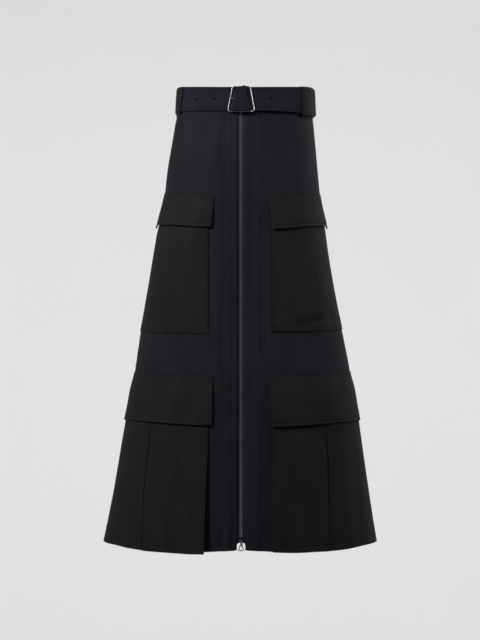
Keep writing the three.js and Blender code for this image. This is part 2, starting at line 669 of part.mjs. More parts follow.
function buildZip() {
  const upright = (x) => frontLine([{ z: 0, x }, { z: HEM_Z, x }]);
  const tapes = [
    { name: "zip_tape_left", from: -TAPE_OUTER_X, to: -TAPE_INNER_X },
    { name: "zip_tape_right", from: TAPE_INNER_X, to: TAPE_OUTER_X },
  ];
  const cloth = tapes.map(({ name, from, to }) => named(name, wall({
    from: upright(from),
    to: upright(to),
    top: () => TAPE_TOP,
    bottom: () => TAPE_BOTTOM,
    out: () => TAPE_OUT,
    thickness: TAPE_CLOTH,
  }), zipTape()));
  const chain = named("zip_chain", wall({
    from: upright(-CHAIN_HALF),
    to: upright(CHAIN_HALF),
    top: () => TAPE_TOP - 2,
    bottom: () => CHAIN_BOTTOM,
    out: () => CHAIN_OUT,
    thickness: CHAIN_THICK,
  }), nickel());
  return [...cloth, chain];
}

function roundedPlate(width, height, corner, thickness) {
  const [x, z] = [width / 2, height / 2];
  const outline = new THREE.Shape();
  outline.moveTo(-x + corner, -z);
  outline.absarc(x - corner, -z + corner, corner, -Math.PI / 2, 0);
  outline.absarc(x - corner * 0.5, z - corner * 0.5, corner * 0.5, 0, Math.PI / 2);
  outline.absarc(-x + corner * 0.5, z - corner * 0.5, corner * 0.5, Math.PI / 2, Math.PI);
  outline.absarc(-x + corner, -z + corner, corner, Math.PI, 1.5 * Math.PI);
  const shape = { depth: thickness, bevelEnabled: false, curveSegments: 4 };
  const plate = new THREE.ExtrudeGeometry(outline, shape);
  return plate.rotateX(Math.PI / 2).translate(0, thickness, 0);
}

// The slider is two plates on a post, with a bail on the front plate that carries the pull
function sliderSolid() {
  const { width, height, corner, plate, front, back } = SLIDER;
  const frontPlate = roundedPlate(width, height, corner, plate).translate(0, front, 0);
  const backPlate = roundedPlate(width, height, corner, plate).translate(0, back, 0);
  const post = new THREE.BoxGeometry(SLIDER_POST.width, back - front, SLIDER_POST.height);
  post.translate(0, (front + back + plate) / 2, SLIDER_POST.z);
  const hinge = front - HINGE_STAND;
  const bailPath = [new THREE.Vector3(0, front + plate / 2, BAIL.ring)];
  for (let degrees = 90; degrees <= 270; degrees += 22.5) {
    const [c, s] = [Math.cos(radians(degrees)), Math.sin(radians(degrees))];
    bailPath.push(new THREE.Vector3(0, hinge + BAIL.ring * c, BAIL.ring * s));
  }
  bailPath.push(new THREE.Vector3(0, front + plate / 2, -BAIL.ring));
  const bail = roundBar(BAIL.wire, bailPath, 20, 4);
  return [backPlate, post, bail].reduce((solid, piece) => solid.add(toSolid(piece)), toSolid(frontPlate));
}

// The pull is a flat eye on the bail, a short neck and an open trapezoid ring, hanging straight down
function pullGeometry() {
  const eyeBottom = -PULL_EYE.depth;
  const outline = new THREE.Shape();
  outline.moveTo(-PULL_EYE.half, PULL_EYE.bar);
  outline.lineTo(-PULL_EYE.half, eyeBottom);
  outline.lineTo(-PULL_NECK.half, eyeBottom - 1);
  outline.lineTo(-PULL_NECK.half, PULL_NECK.bottom);
  outline.lineTo(-PULL_RING.topHalf, PULL_NECK.bottom - 0.8);
  outline.lineTo(-PULL_RING.bottomHalf, PULL_RING.bottom + 1);
  outline.lineTo(-PULL_RING.bottomHalf + 1, PULL_RING.bottom);
  outline.lineTo(PULL_RING.bottomHalf - 1, PULL_RING.bottom);
  outline.lineTo(PULL_RING.bottomHalf, PULL_RING.bottom + 1);
  outline.lineTo(PULL_RING.topHalf, PULL_NECK.bottom - 0.8);
  outline.lineTo(PULL_NECK.half, PULL_NECK.bottom);
  outline.lineTo(PULL_NECK.half, eyeBottom - 1);
  outline.lineTo(PULL_EYE.half, eyeBottom);
  outline.lineTo(PULL_EYE.half, PULL_EYE.bar);

  const eye = new THREE.Path();
  eye.moveTo(-PULL_EYE.hole, -PULL_EYE.bar);
  eye.lineTo(PULL_EYE.hole, -PULL_EYE.bar);
  eye.lineTo(PULL_EYE.hole, eyeBottom + 1);
  eye.lineTo(-PULL_EYE.hole, eyeBottom + 1);

  const window = new THREE.Path();
  const { topHalf, bottomHalf, bottom, wire } = PULL_RING;
  window.moveTo(-topHalf + wire, PULL_NECK.bottom - 0.8 - wire);
  window.lineTo(topHalf - wire, PULL_NECK.bottom - 0.8 - wire);
  window.lineTo(bottomHalf - wire, bottom + wire);
  window.lineTo(-bottomHalf + wire, bottom + wire);
  outline.holes.push(eye, window);
  const plate = new THREE.ExtrudeGeometry(outline, { depth: PULL_THICK, bevelEnabled: false });
  return plate.rotateX(Math.PI / 2).translate(0, PULL_THICK / 2, 0);
}

// The slider lies along the sloping front, and the pull hangs upright from its bail
function buildSlider() {
  const at = bodyPoint(0, SLIDER_Z, 0);
  const slope = Math.atan2(bodyPoint(0, SLIDER_Z + 10, 0).y - bodyPoint(0, SLIDER_Z - 10, 0).y, 20);
  const slider = named("zip_slider", toGeometry(sliderSolid()), nickel());
  slider.position.copy(at);
  slider.rotation.x = -slope;
  const hinge = new THREE.Vector3(0, SLIDER.front - HINGE_STAND, 0);
  hinge.applyAxisAngle(new THREE.Vector3(1, 0, 0), -slope);
  const pull = named("zip_pull", pullGeometry(), steel());
  pull.position.copy(at).add(hinge);
  return [slider, pull];
}

const skirt = new THREE.Group();
skirt.add(...buildBand(), ...buildPanels());
skirt.add(...buildUpperPockets(), ...buildLowerPockets(), ...buildFlaps());
skirt.add(buildBelt(), ...buildBuckle(), ...buildTunnels());
skirt.add(...buildZip(), ...buildSlider());

export default skirt;
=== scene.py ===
"""A long A-line cargo utility skirt with its belt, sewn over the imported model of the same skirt.

The front with the zip faces -Y and +Z is up. The origin is the middle of the waist on the plane of
the zip. Left and right are as the viewer sees them. The cloth's tables are in millimetres and the
meshes in metres. A turn is an angle round the body seen from above: 0 at the zip, positive to the
right, 180 at the centre of the back. "Out" is a distance from the outside of the cloth body.
"""

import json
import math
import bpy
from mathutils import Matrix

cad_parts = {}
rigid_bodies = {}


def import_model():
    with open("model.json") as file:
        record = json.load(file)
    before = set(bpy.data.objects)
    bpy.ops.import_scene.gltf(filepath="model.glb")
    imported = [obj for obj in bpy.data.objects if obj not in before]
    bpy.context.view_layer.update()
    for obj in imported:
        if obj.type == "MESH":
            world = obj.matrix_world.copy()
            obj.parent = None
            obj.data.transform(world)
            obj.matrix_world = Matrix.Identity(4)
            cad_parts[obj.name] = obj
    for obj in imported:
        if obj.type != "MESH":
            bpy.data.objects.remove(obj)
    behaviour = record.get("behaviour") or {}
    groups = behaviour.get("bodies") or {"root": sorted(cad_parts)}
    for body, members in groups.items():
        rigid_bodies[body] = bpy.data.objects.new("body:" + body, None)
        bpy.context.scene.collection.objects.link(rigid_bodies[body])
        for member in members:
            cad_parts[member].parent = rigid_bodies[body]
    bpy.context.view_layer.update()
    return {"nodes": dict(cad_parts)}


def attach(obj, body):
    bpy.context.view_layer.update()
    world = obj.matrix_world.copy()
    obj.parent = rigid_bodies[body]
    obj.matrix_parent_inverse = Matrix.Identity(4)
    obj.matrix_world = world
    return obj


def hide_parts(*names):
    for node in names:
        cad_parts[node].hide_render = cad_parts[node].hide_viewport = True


bl_info = {
    "name": "Cargo Utility Skirt",
    "version": (1, 0, 0),
    "blender": (4, 5, 0),
    "location": "3D View > Sidebar > Skirt",
    "description": "Sews a belted cargo skirt over its packed model, piece by piece",
    "category": "Add Mesh",
}

from functools import lru_cache

import bpy
from bpy.props import FloatProperty, PointerProperty, StringProperty
from mathutils import Matrix, Vector, noise

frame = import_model()

MM = 0.001
SKIRT = "skirt"
PULL = "zip_pull"

# Thickness of each cloth, and the gap between cloths that lie on each other
PANEL_CLOTH = 1.8
BAND_CLOTH = 2.2
POCKET_CLOTH = 1.6
FLAP_CLOTH = 2.0
STRAP_CLOTH = 2.2
TUNNEL_CLOTH = 1.5
TAPE_CLOTH = 1.0
ALLOWANCE_CLOTH = 0.8
SEAM_GAP = 0.3
LAY_GAP = 0.5

# Heights of the body
BAND_HEIGHT = 45
HEM_Z = -901
BAND_DIP = 3.3
HEM_RISE = 5
HEM_RISE_TURN = 25
HEM_SIDE_RISE = 4.7
HEM_SIDE_TURNS = (38, 66)
HEM_CORNER = (6, 4)

# Half-sizes of the outside of the body: height, to the left, to the right, in front, behind
SECTIONS = (
    (0, 123.3, 139, 88, 86),
    (-25, 124.2, 139.3, 90, 89),
    (-60, 126.8, 141.2, 94, 97),
    (-147, 143, 149.6, 107, 119),
    (-210, 151.6, 156.4, 116, 130),
    (-337, 172, 171.5, 131, 142),
    (-465, 193.5, 195, 145, 153),
    (-592, 216, 220.5, 159, 166),
    (-719, 236, 238, 171, 177),
    (-846, 258.5, 257.5, 182, 187),
    (-900, 269, 265.5, 186, 191),
)
SQUARENESS = 0.03

# How far the hanging cloth stands off that body at its sides: height, on the left, on the right
SIDE_FIT = (
    (-70, 1.6, 0.9),
    (-90, 0.9, 0.9),
    (-127, 0.2, 0.8),
    (-182, 0, 0.2),
    (-210, -0.8, -0.4),
    (-238, -1.4, -1.2),
    (-266, -1.0, -0.2),
    (-294, 0.6, 0.4),
    (-377, 0.5, 0.6),
    (-433, 1.2, 0.9),
    (-461, 1.5, 1.8),
    (-488, 2.4, 2.4),
    (-516, 1.5, 2.2),
    (-544, 0.6, 2.0),
    (-572, -0.6, 0.8),
    (-627, -0.8, 0.6),
    (-655, 0, 1.6),
    (-711, 0.9, 1.9),
    (-794, 0.7, 1.2),
    (-850, 1.8, 1.2),
    (-900, 2.6, 2.2),
)
SIDE_SPREAD = 38

# Soft folds that deepen from FLUTE_TOP to the hem: turn, spread in degrees, depth
FLUTE_TOP = -250
FLUTES = (
    (-9, 5, 1.5),
    (11, 6, -1.2),
    (122, 9, -4),
    (143, 10, 6),
    (163, 8, -3.5),
    (186, 11, 5),
    (212, 10, -5),
    (236, 9, 3.5),
)

# Creases, listed one by one: turn and height of one end, of the other end, spread, depth
CREASES = (
    ((0, -80), (0, -190), 34, 3.2),
    ((0.5, -360), (-0.5, -640), 30, -5.5),
    ((-0.5, -600), (-1, -790), 30, -5.5),
    ((34, -464), (64, -449), 9, -3.6),
    ((36, -450), (66, -436), 10, 2.2),
    ((-3.2, -812), (-6.6, -896), 7, 2.6),
    ((-1.8, -790), (-4.2, -890), 6, -1.7),
    ((-8.5, -830), (-9, -900), 9, -1.2),
    ((18.5, -280), (15.5, -478), 8, 1.1),
    ((-21.5, -280), (-17.5, -478), 8, -1.0),
    ((-66, -232), (-30, -262), 12, -0.8),
    ((-70, -100), (-28, -160), 26, 1.5),
    ((-52, -170), (-22, -195), 22, -1.1),
    ((28, -80), (66, -150), 28, -1.5),
    ((26, -170), (60, -130), 20, 1.2),
    ((-50, -330), (-46, -470), 26, 1.3),
    ((-32, -300), (-30, -480), 20, -1.1),
    ((33, -500), (58, -560), 26, -1.8),
    ((-58, -505), (-34, -560), 26, 1.6),
    ((-42, -690), (-38, -900), 20, 2.0),
    ((-29, -700), (-26, -900), 16, -1.8),
    ((28, -690), (25, -900), 18, 2.0),
    ((37, -680), (35, -900), 20, -2.0),
    ((62, -700), (58, -900), 22, -1.8),
    ((-66, -700), (-62, -900), 22, -1.7),
    ((-11, -120), (-8, -420), 16, 0.9),
    ((9, -180), (7, -520), 16, -0.9),
    ((12, -560), (10, -760), 16, 1.2),
    ((-12, -600), (-9, -780), 16, -1.2),
    ((100, -260), (96, -880), 22, -1.8),
    ((-100, -240), (-97, -880), 22, -1.6),
    ((112, -90), (150, -190), 26, 1.4),
    ((206, -80), (236, -200), 26, 1.3),
    ((150, -260), (178, -420), 26, -1.2),
    ((215, -300), (190, -480), 26, 1.1),
)

# Uneven cloth near a sewn line: how far it reaches, how deep, and how far apart the puckers are
PUCKER_REACH = 7
PUCKER_DEPTH = 0.32
PUCKER_PITCH = 13
PUCKER_MEAN = 0.45

# Inside: half-width of the pressed-open seam allowances, depth of the turned-up hem
ALLOWANCE_WIDTH = 9
HEM_TURN = 14

# Lines up the front: height, distance from the zip
ZIP_EDGE_LEFT = ((0, -8), (-900, -8))
ZIP_EDGE_RIGHT = ((0, 8), (-900, 8))
FRONT_SEAM_LEFT = ((0, -37), (-900, -38.5))
FRONT_SEAM_RIGHT = ((0, 40), (-900, 41.5))
POCKET_FRONT_LEFT = ((-200, -63.3), (-658, -63.3), (-720, -64), (-790, -67.3), (-905, -69.5))
POCKET_FRONT_RIGHT = ((-200, 60.5), (-905, 60.5))
FLAP_FRONT_LEFT = ((-205, -51.6), (-282, -57.4), (-560, -54.8), (-665, -56.4))
FLAP_FRONT_RIGHT = ((-205, 53.4), (-284, 59.6), (-560, 53.6), (-668, 60))
PLEAT_LEFT = ((-655, -173), (-720, -178.9), (-780, -185), (-905, -189.5))
PLEAT_RIGHT = ((-655, 162), (-720, 166), (-905, 168.5))
TUNNEL_FRONT_LEFT = ((0, -108.6), (-50, -116), (-60, -119))
TUNNEL_FRONT_RIGHT = ((0, 114.6), (-53, 114.6), (-61, 118.4))
SIDE_TURN = 90
POCKET_BACK_TURN = 93

# Patch pockets: side, mouth, lower edge
UPPER_POCKETS = (("left", -222, -481), ("right", -222, -477.5))
UPPER_BELLY = 1.8
# Side, mouth, how much lower the loose front edge hangs
LOWER_POCKETS = (("left", -574, 3), ("right", -575, 0.5))
LOWER_STAND = {"left": 12, "right": 5}
PLEAT_LIP = 3
# Width of the pleat's slot: height, width
PLEAT_SLOTS = {
    "left": ((-655, 1.2), (-700, 2.2), (-780, 3.2), (-905, 3.2)),
    "right": ((-655, 1.2), (-720, 2.2), (-800, 2.4), (-850, 0.3), (-905, 0.3)),
}
PLEAT_RISE = 1.6

# Flaps: level, side, top at the front, top at the back, bottom, drop at the front and back, stand
FLAPS = (
    ("upper", "left", -213, -208, -270.5, 4.3, 7, 3.6),
    ("upper", "right", -215.5, -209, -272.7, 5.8, 5.8, 3.4),
    ("lower", "left", -560, -561.3, -652.5, 3.7, 5.5, 2),
    ("lower", "right", -561.7, -561, -655, 4.4, 4, 1.5),
)
FLAP_TOP_OUT = 1.2
FLAP_REACH = (-10, 42)
FLAP_BELLY = 1
FLAP_FRONT_STAND = 0.6
FLAP_OVERHANG_TURN = 1

# Zip
TAPE_OUT = -2.7
TAPE_INNER_X = 0.25
TAPE_OUTER_X = 17
TAPE_TOP = -6
TAPE_BOTTOM = -881
TAPE_CORNER_X = 3
TAPE_CORNER = 5
CHAIN_OUT = -0.5
CHAIN_HALF = 2.9
CHAIN_BOTTOM = -876
# One tooth as a block: its sizes, its bevel, how far its middle lies in from the chain's side and face
TOOTH_SIZES = (3.4, 1.5, 1.05)
TOOTH_BEVEL = 0.28
TOOTH_INSET = 1.7
TOOTH_SET_BACK = 0.85
FIRST_TOOTH_DROP = 2.6

# Belt strap and the way it runs through the buckle: along the waist, out
STRAP_TOP = -3.6
STRAP_HEIGHT = 45
STRAP_ON_BAND = LAY_GAP + STRAP_CLOTH / 2
STRAP_ON_STRAP = STRAP_ON_BAND + STRAP_CLOTH + LAY_GAP
STRAP_TIP_TURN = 96
STRAP_TIP_DROP = 6.5
STRAP_FOOT_SAG = 1.4
STRAP_SQUEEZE = 1.8
STRAP_SQUEEZE_AT = 18
FOLD_END = ((10.5, 6.7), (6, 8.5))
FOLD_START = (7, 2.1)
BUCKLE_ROUTE = (
    (-23, STRAP_ON_BAND),
    (-19.8, 1.7),
    (-17.4, 3.3),
    (-15.3, 7.6),
    (-12.3, 11),
    (-7, 11.6),
    (-3, 11.9),
    (1.5, 13),
    (5.5, 12.8),
    (9.3, 11),
    (13.6, 7),
    (17.4, STRAP_ON_STRAP + 0.7),
    (21.5, STRAP_ON_STRAP + 0.1),
    (27, STRAP_ON_STRAP),
)
HOLES = (-90, -51.5, -14, 23, 59)
HOLE_RADIUS = 2.1

# Wire buckle with its upright middle bar and prong
WIRE_RADIUS = 1.5
BUCKLE_TOP_HALF = 16.4
BUCKLE_FOOT_HALF = 25.2
BUCKLE_TOP = -3
BUCKLE_FOOT = -51
BUCKLE_CORNER = 4.5
BUCKLE_OUT = 6.3
BUCKLE_TILT = 1.7 / 21
PRONG_RADIUS = 1.1
PRONG_CURL = WIRE_RADIUS + SEAM_GAP + PRONG_RADIUS
PRONG_Z = -25.6
PRONG_CHANNEL_END = -9.5

# Side tunnels for the belt: side, back turn, strap's out, height where it turns in, foot, shoulder
TUNNELS = (
    ("left", 102, STRAP_ON_BAND, -50, -57.5, 2.2),
    ("right", 88, STRAP_ON_STRAP, -54.6, -61, 5.5),
)


def smooth(value, low, high):
    """A soft step from 0 at low to 1 at high."""
    share = min(max((value - low) / (high - low), 0), 1)
    return share * share * (3 - 2 * share)


def mix(a, b, share):
    return a + (b - a) * share


def bump(distance, spread):
    return math.exp(-((distance / spread) ** 2))


def straight_at(rows, z):
    """Reads a line's distance from the zip at a height."""
    row = 0
    while row < len(rows) - 2 and z < rows[row + 1][0]:
        row += 1
    (high, first), (low, second) = rows[row], rows[row + 1]
    return mix(first, second, min(max((high - z) / (high - low), 0), 1))


@lru_cache(maxsize=200000)
def side_fit_at(z):
    """How far the cloth stands off at the left side and at the right one, at a height."""
    if z >= SIDE_FIT[0][0]:
        return SIDE_FIT[0][1:]
    row = 0
    while row < len(SIDE_FIT) - 2 and z < SIDE_FIT[row + 1][0]:
        row += 1
    high, low = SIDE_FIT[row], SIDE_FIT[row + 1]
    share = smooth(-z, -high[0], -low[0])
    return mix(high[1], low[1], share), mix(high[2], low[2], share)


@lru_cache(maxsize=200000)
def section_at(z):
    """Half-sizes of the body at a height, by a smooth curve through the table's rows."""
    last = len(SECTIONS) - 1
    row = 0
    while row < last - 1 and z < SECTIONS[row + 1][0]:
        row += 1
    high, low = SECTIONS[row], SECTIONS[row + 1]
    span = low[0] - high[0]
    t = (z - high[0]) / span
    shares = (2 * t**3 - 3 * t**2 + 1, t**3 - 2 * t**2 + t, 3 * t**2 - 2 * t**3, t**3 - t**2)
    before, after = SECTIONS[max(row - 1, 0)], SECTIONS[min(row + 2, last)]
    sizes = []
    for column in range(1, 5):
        slope_high = (low[column] - before[column]) / (low[0] - before[0])
        slope_low = (after[column] - high[column]) / (after[0] - high[0])
        sizes.append(
            shares[0] * high[column]
            + shares[1] * span * slope_high
            + shares[2] * low[column]
            + shares[3] * span * slope_low
        )
    return tuple(sizes)


def section_point(turn, z):
    """A point of the body's outline at a height: x, y, the outward direction and its speed."""
    left, right, front, back = section_at(z)
    sine, cosine = math.sin(turn), math.cos(turn)
    width = left if sine < 0 else right
    depth = front if cosine > 0 else back
    swell = 1 + SQUARENESS * math.sin(2 * turn) ** 2
    swell_rate = 2 * SQUARENESS * math.sin(4 * turn)
    rate_x = width * (cosine * swell + sine * swell_rate)
    rate_y = depth * (sine * swell - cosine * swell_rate)
    speed = math.hypot(rate_x, rate_y)
    return width * sine * swell, -depth * cosine * swell, rate_y / speed, -rate_x / speed, speed


def speed_at(turn, z):
    return section_point(turn, z)[4]


def away_from(degrees, turn):
    """Degrees from one turn to another, the shorter way round."""
    return (degrees - turn + 180) % 360 - 180


def segment_distance(point, start, end):
    """Distance from a point to a crease's line, and how far along the line it lies."""
    way = end - start
    share = min(max((point - start).dot(way) / way.length_squared, 0), 1)
    return (point - start - way * share).length, share


def drape_at(turn, z):
    """How far the hanging cloth stands out of the plain body here: its folds and creases."""
    degrees = math.degrees(turn) % 360
    flutes = 0
    if z < FLUTE_TOP:
        for middle, spread, depth in FLUTES:
            flutes += depth * bump(away_from(degrees, middle), spread)
    flutes *= smooth(-z, -FLUTE_TOP, -HEM_Z)
    on_left, on_right = side_fit_at(z)
    sides = on_left * bump(away_from(degrees, 270), SIDE_SPREAD)
    sides += on_right * bump(away_from(degrees, 90), SIDE_SPREAD)
    left, right, front, back = section_at(z)
    per_degree = math.radians((left + right + front + back) / 4)
    creases = 0
    for (first, high), (second, low), spread, depth in CREASES:
        if z > max(high, low) + 2 * spread or z < min(high, low) - 2 * spread:
            continue
        here = away_from(degrees, first) * per_degree
        there = away_from(second, first) * per_degree
        distance, share = segment_distance(Vector((here, z)), Vector((0, high)), Vector((there, low)))
        if distance < 2.6 * spread:
            uneven = 0.75 + 0.25 * math.sin(5 * share + first)
            creases += depth * uneven * bump(distance, spread)
    sway = 0.35 * noise.noise(Vector((degrees / 14, z / 90, 0.5)))
    return flutes + sides * smooth(-z, 45, 80) + creases * smooth(-z, 45, 80) + sway * smooth(-z, 50, 120)


def body_point(turn, z, out):
    """A point on or off the draped body."""
    x, y, out_x, out_y, _ = section_point(turn, z)
    reach = out + drape_at(turn, z)
    return Vector((x + out_x * reach, y + out_y * reach, z))


def turn_at_x(x, z):
    """The turn at which the front of the body is x to the side of the zip."""
    width = section_at(z)[0 if x < 0 else 1]
    turn = math.asin(min(max(x / width, -1), 1))
    for _ in range(8):
        swell = 1 + SQUARENESS * math.sin(2 * turn) ** 2
        turn = math.asin(min(max(x / width / swell, -1), 1))
    return turn


def front_line(rows):
    return lru_cache(maxsize=20000)(lambda z: turn_at_x(straight_at(rows, z), z))


def turn_line(degrees):
    return lambda z: math.radians(degrees)


def moved_along(line, distance):
    return lambda z: line(z) + distance / speed_at(line(z), z)


def pinched(line, way):
    """A seam's line moved half the seam's gap: way is 1 with the turn and -1 against it."""
    return moved_along(line, way * SEAM_GAP / 2)


def band_top(turn):
    return -BAND_DIP * max(math.cos(turn), 0) ** 2


def band_bottom(turn):
    return band_top(turn) - BAND_HEIGHT


def hem_at(turn):
    from_zip = abs((math.degrees(turn) + 180) % 360 - 180)
    rise = HEM_RISE * (1 - smooth(from_zip, 0, HEM_RISE_TURN))
    return HEM_Z + rise + HEM_SIDE_RISE * smooth(from_zip, *HEM_SIDE_TURNS)


def hem_corner(from_edge):
    """How much higher the hem is beside the zip, where its corner is rounded off."""
    width, height = HEM_CORNER
    share = 1 - min(from_edge / width, 1)
    return height * (1 - math.sqrt(1 - share * share * 0.96))


def spread_positions(length, near, far, count):
    """Distances along a length: near and far are kept from either end, and count lie between."""
    scale = min(1, length / (near[-1] + far[-1] + 1))
    start = [d * scale for d in near]
    end = [length - d * scale for d in reversed(far)]
    between = [mix(start[-1], end[0], (i + 1) / (count + 1)) for i in range(count)]
    return start + between + end


def edge_stations(stitched):
    """Distances from an edge at which the cloth has a column: fine at the edge and at a stitched row."""
    if not stitched:
        return [0, 1.2, 3, 6]
    near = [0, 0.7, 1.6]
    near += [3, 4.6, 6.4] if stitched[0] > 8 else []
    for row in stitched:
        near += [row - 1.1, row - 0.35, row + 0.35, row + 1.1]
    near += [stitched[-1] + 3, stitched[-1] + 6]
    return sorted(d for i, d in enumerate(near) if d >= 0 and d not in near[:i])


# How deep a stitched row and a closed seam pull the cloth in, and how far beside them
STITCH_DIP = 0.45
STITCH_DIP_SPREAD = 0.8
SEAM_DIP = 0.7
SEAM_DIP_SPREAD = 1.1


def stitched_relief(distance, rows, along, sewn, seed):
    """How the surface sinks at a sewn edge and at its stitched rows, with small uneven puckers."""
    depth = -SEAM_DIP * bump(distance, SEAM_DIP_SPREAD) if sewn else 0
    if not rows:
        return depth
    for row in rows:
        depth -= STITCH_DIP * bump(distance - row, STITCH_DIP_SPREAD)
    reach = bump(distance - rows[0], PUCKER_REACH)
    pucker = noise.noise(Vector((along / PUCKER_PITCH, seed, 2.7)))
    return depth + PUCKER_DEPTH * reach * (pucker - PUCKER_MEAN)


# Stitched rows start and end this far from an edge, and have a point this often
SEWING_INSET = 2.5
SEWING_STEP = 8


class Wall:
    """A cloth wall on the body between two lines and two edges.

    rows names the stitched rows at each edge, as distances from it, and sewn the edges that are
    closed in a seam. out(across, down) places the outside of the cloth.
    """

    def __init__(self, name, start, end, top, bottom, thickness, out=None, rows=None, sewn=(), step=6.5):
        self.name = name
        self.start, self.end = start, end
        self.top, self.bottom = top, bottom
        self.thickness = thickness
        self.out = out or (lambda across, down: 0)
        self.rows = {"start": (), "end": (), "top": (), "bottom": ()} | (rows or {})
        self.sewn = sewn
        self.seed = sum(ord(letter) for letter in name) % 97
        middle = (self.top(0.5) + self.bottom(0.5)) / 2
        self.height = self.top(0.5) - self.bottom(0.5)
        widest = max(self.width_at(z) for z in (self.top(0.5), middle, self.bottom(0.5)))
        self.columns_between = max(1, round(widest / step) - 1)
        self.rows_between = max(1, round(self.height / step) - 1)

    def width_at(self, z):
        first, last = self.start(z), self.end(z)
        speeds = speed_at(first, z) + 4 * speed_at((first + last) / 2, z) + speed_at(last, z)
        return (last - first) * speeds / 6

    def turn_at(self, z, distance, width):
        """The turn at a distance along the row from the wall's first line."""
        first, last = self.start(z), self.end(z)
        even = mix(first, last, distance / width)
        from_first = first + distance / speed_at(first, z)
        from_last = last - (width - distance) / speed_at(last, z)
        near_first = 1 - smooth(distance, 8, 30)
        near_last = 1 - smooth(width - distance, 8, 30)
        near_first = near_first if distance < width / 2 else 0
        near_last = near_last if distance >= width / 2 else 0
        return even + near_first * (from_first - even) + near_last * (from_last - even)

    def point(self, across_share, distance_of, down_of):
        """A point of the outside. The two functions give the distances along the row and down."""
        for _ in range(2):
            top, bottom = self.top(across_share), self.bottom(across_share)
            height = top - bottom
            down = down_of(height)
            z = top - down
            width = self.width_at(z)
            distance = distance_of(width)
            across_share = distance / width
        turn = self.turn_at(z, distance, width)
        out = self.out(distance / width, down / height)
        for edge, gap, along in (
            ("start", distance, down),
            ("end", width - distance, down),
            ("top", down, distance),
            ("bottom", height - down, distance),
        ):
            seed = self.seed + len(edge)
            out += stitched_relief(gap, self.rows[edge], along, edge in self.sewn, seed)
        return body_point(turn, z, out)

    def grid(self):
        """The wall's points, row by row from the top."""
        across = (edge_stations(self.rows["start"]), edge_stations(self.rows["end"]), self.columns_between)
        down = (edge_stations(self.rows["top"]), edge_stations(self.rows["bottom"]), self.rows_between)
        columns = sum(len(part) for part in across[:2]) + across[2]
        rows = sum(len(part) for part in down[:2]) + down[2]
        points = []
        for j in range(rows):
            line = []
            for i in range(columns):
                line.append(
                    self.point(
                        i / (columns - 1),
                        lambda width, i=i: spread_positions(width, *across)[i],
                        lambda height, j=j: spread_positions(height, *down)[j],
                    )
                )
            points.append(line)
        return points

    def sewing_lines(self):
        """The stitched rows, as points on the outside of the cloth."""
        lines = []
        for edge, rows in self.rows.items():
            upright = edge in ("start", "end")
            length = self.height if upright else self.width_at(self.bottom(0.5))
            count = max(2, round(length / SEWING_STEP))
            for row in rows:
                line = []
                for i in range(count + 1):
                    share = i / count

                    def from_edge(size, row=row, edge=edge):
                        return row if edge in ("start", "top") else size - row

                    def along(size, share=share):
                        return mix(SEWING_INSET, size - SEWING_INSET, share)

                    if upright:
                        line.append(self.point(0 if edge == "start" else 1, from_edge, along))
                    else:
                        line.append(self.point(share, along, from_edge))
                lines.append(line)
        return lines


def hexed(code):
    """A linear colour from an sRGB hex value such as #1d1f28."""
    channels = [int(code[i : i + 2], 16) / 255 for i in (1, 3, 5)]
    return [c / 12.92 if c <= 0.04045 else ((c + 0.055) / 1.055) ** 2.4 for c in channels] + [1]


def add_node(tree, kind, settings=None, inputs=None, links=None):
    """Adds a node, sets its properties and inputs, and links other nodes' outputs into it."""
    node = tree.nodes.new(kind)
    for name, value in (settings or {}).items():
        setattr(node, name, value)
    for name, value in (inputs or {}).items():
        node.inputs[name].default_value = value
    for name, (source, output) in (links or {}).items():
        tree.links.new(source.outputs[output], node.inputs[name])
    return node


def new_material(name):
    """The node tree of a new material and its Principled shader."""
    made = bpy.data.materials.new(name)
    made.use_nodes = True
    return made.node_tree, made.node_tree.nodes["Principled BSDF"]


def dyed_between(tree, dark, light, share):
    """A colour between two, by another node's output."""
    return add_node(
        tree,
        "ShaderNodeMix",
        {"data_type": "RGBA"},
        {6: hexed(dark), 7: hexed(light)},
        {0: share},
    )


# Slant of the twill's ribs in degrees, and widths of the drawn ribs of twill and tape
RIB_SLANT = 63
TWILL_RIB = 1.3
TAPE_RIB = 0.9


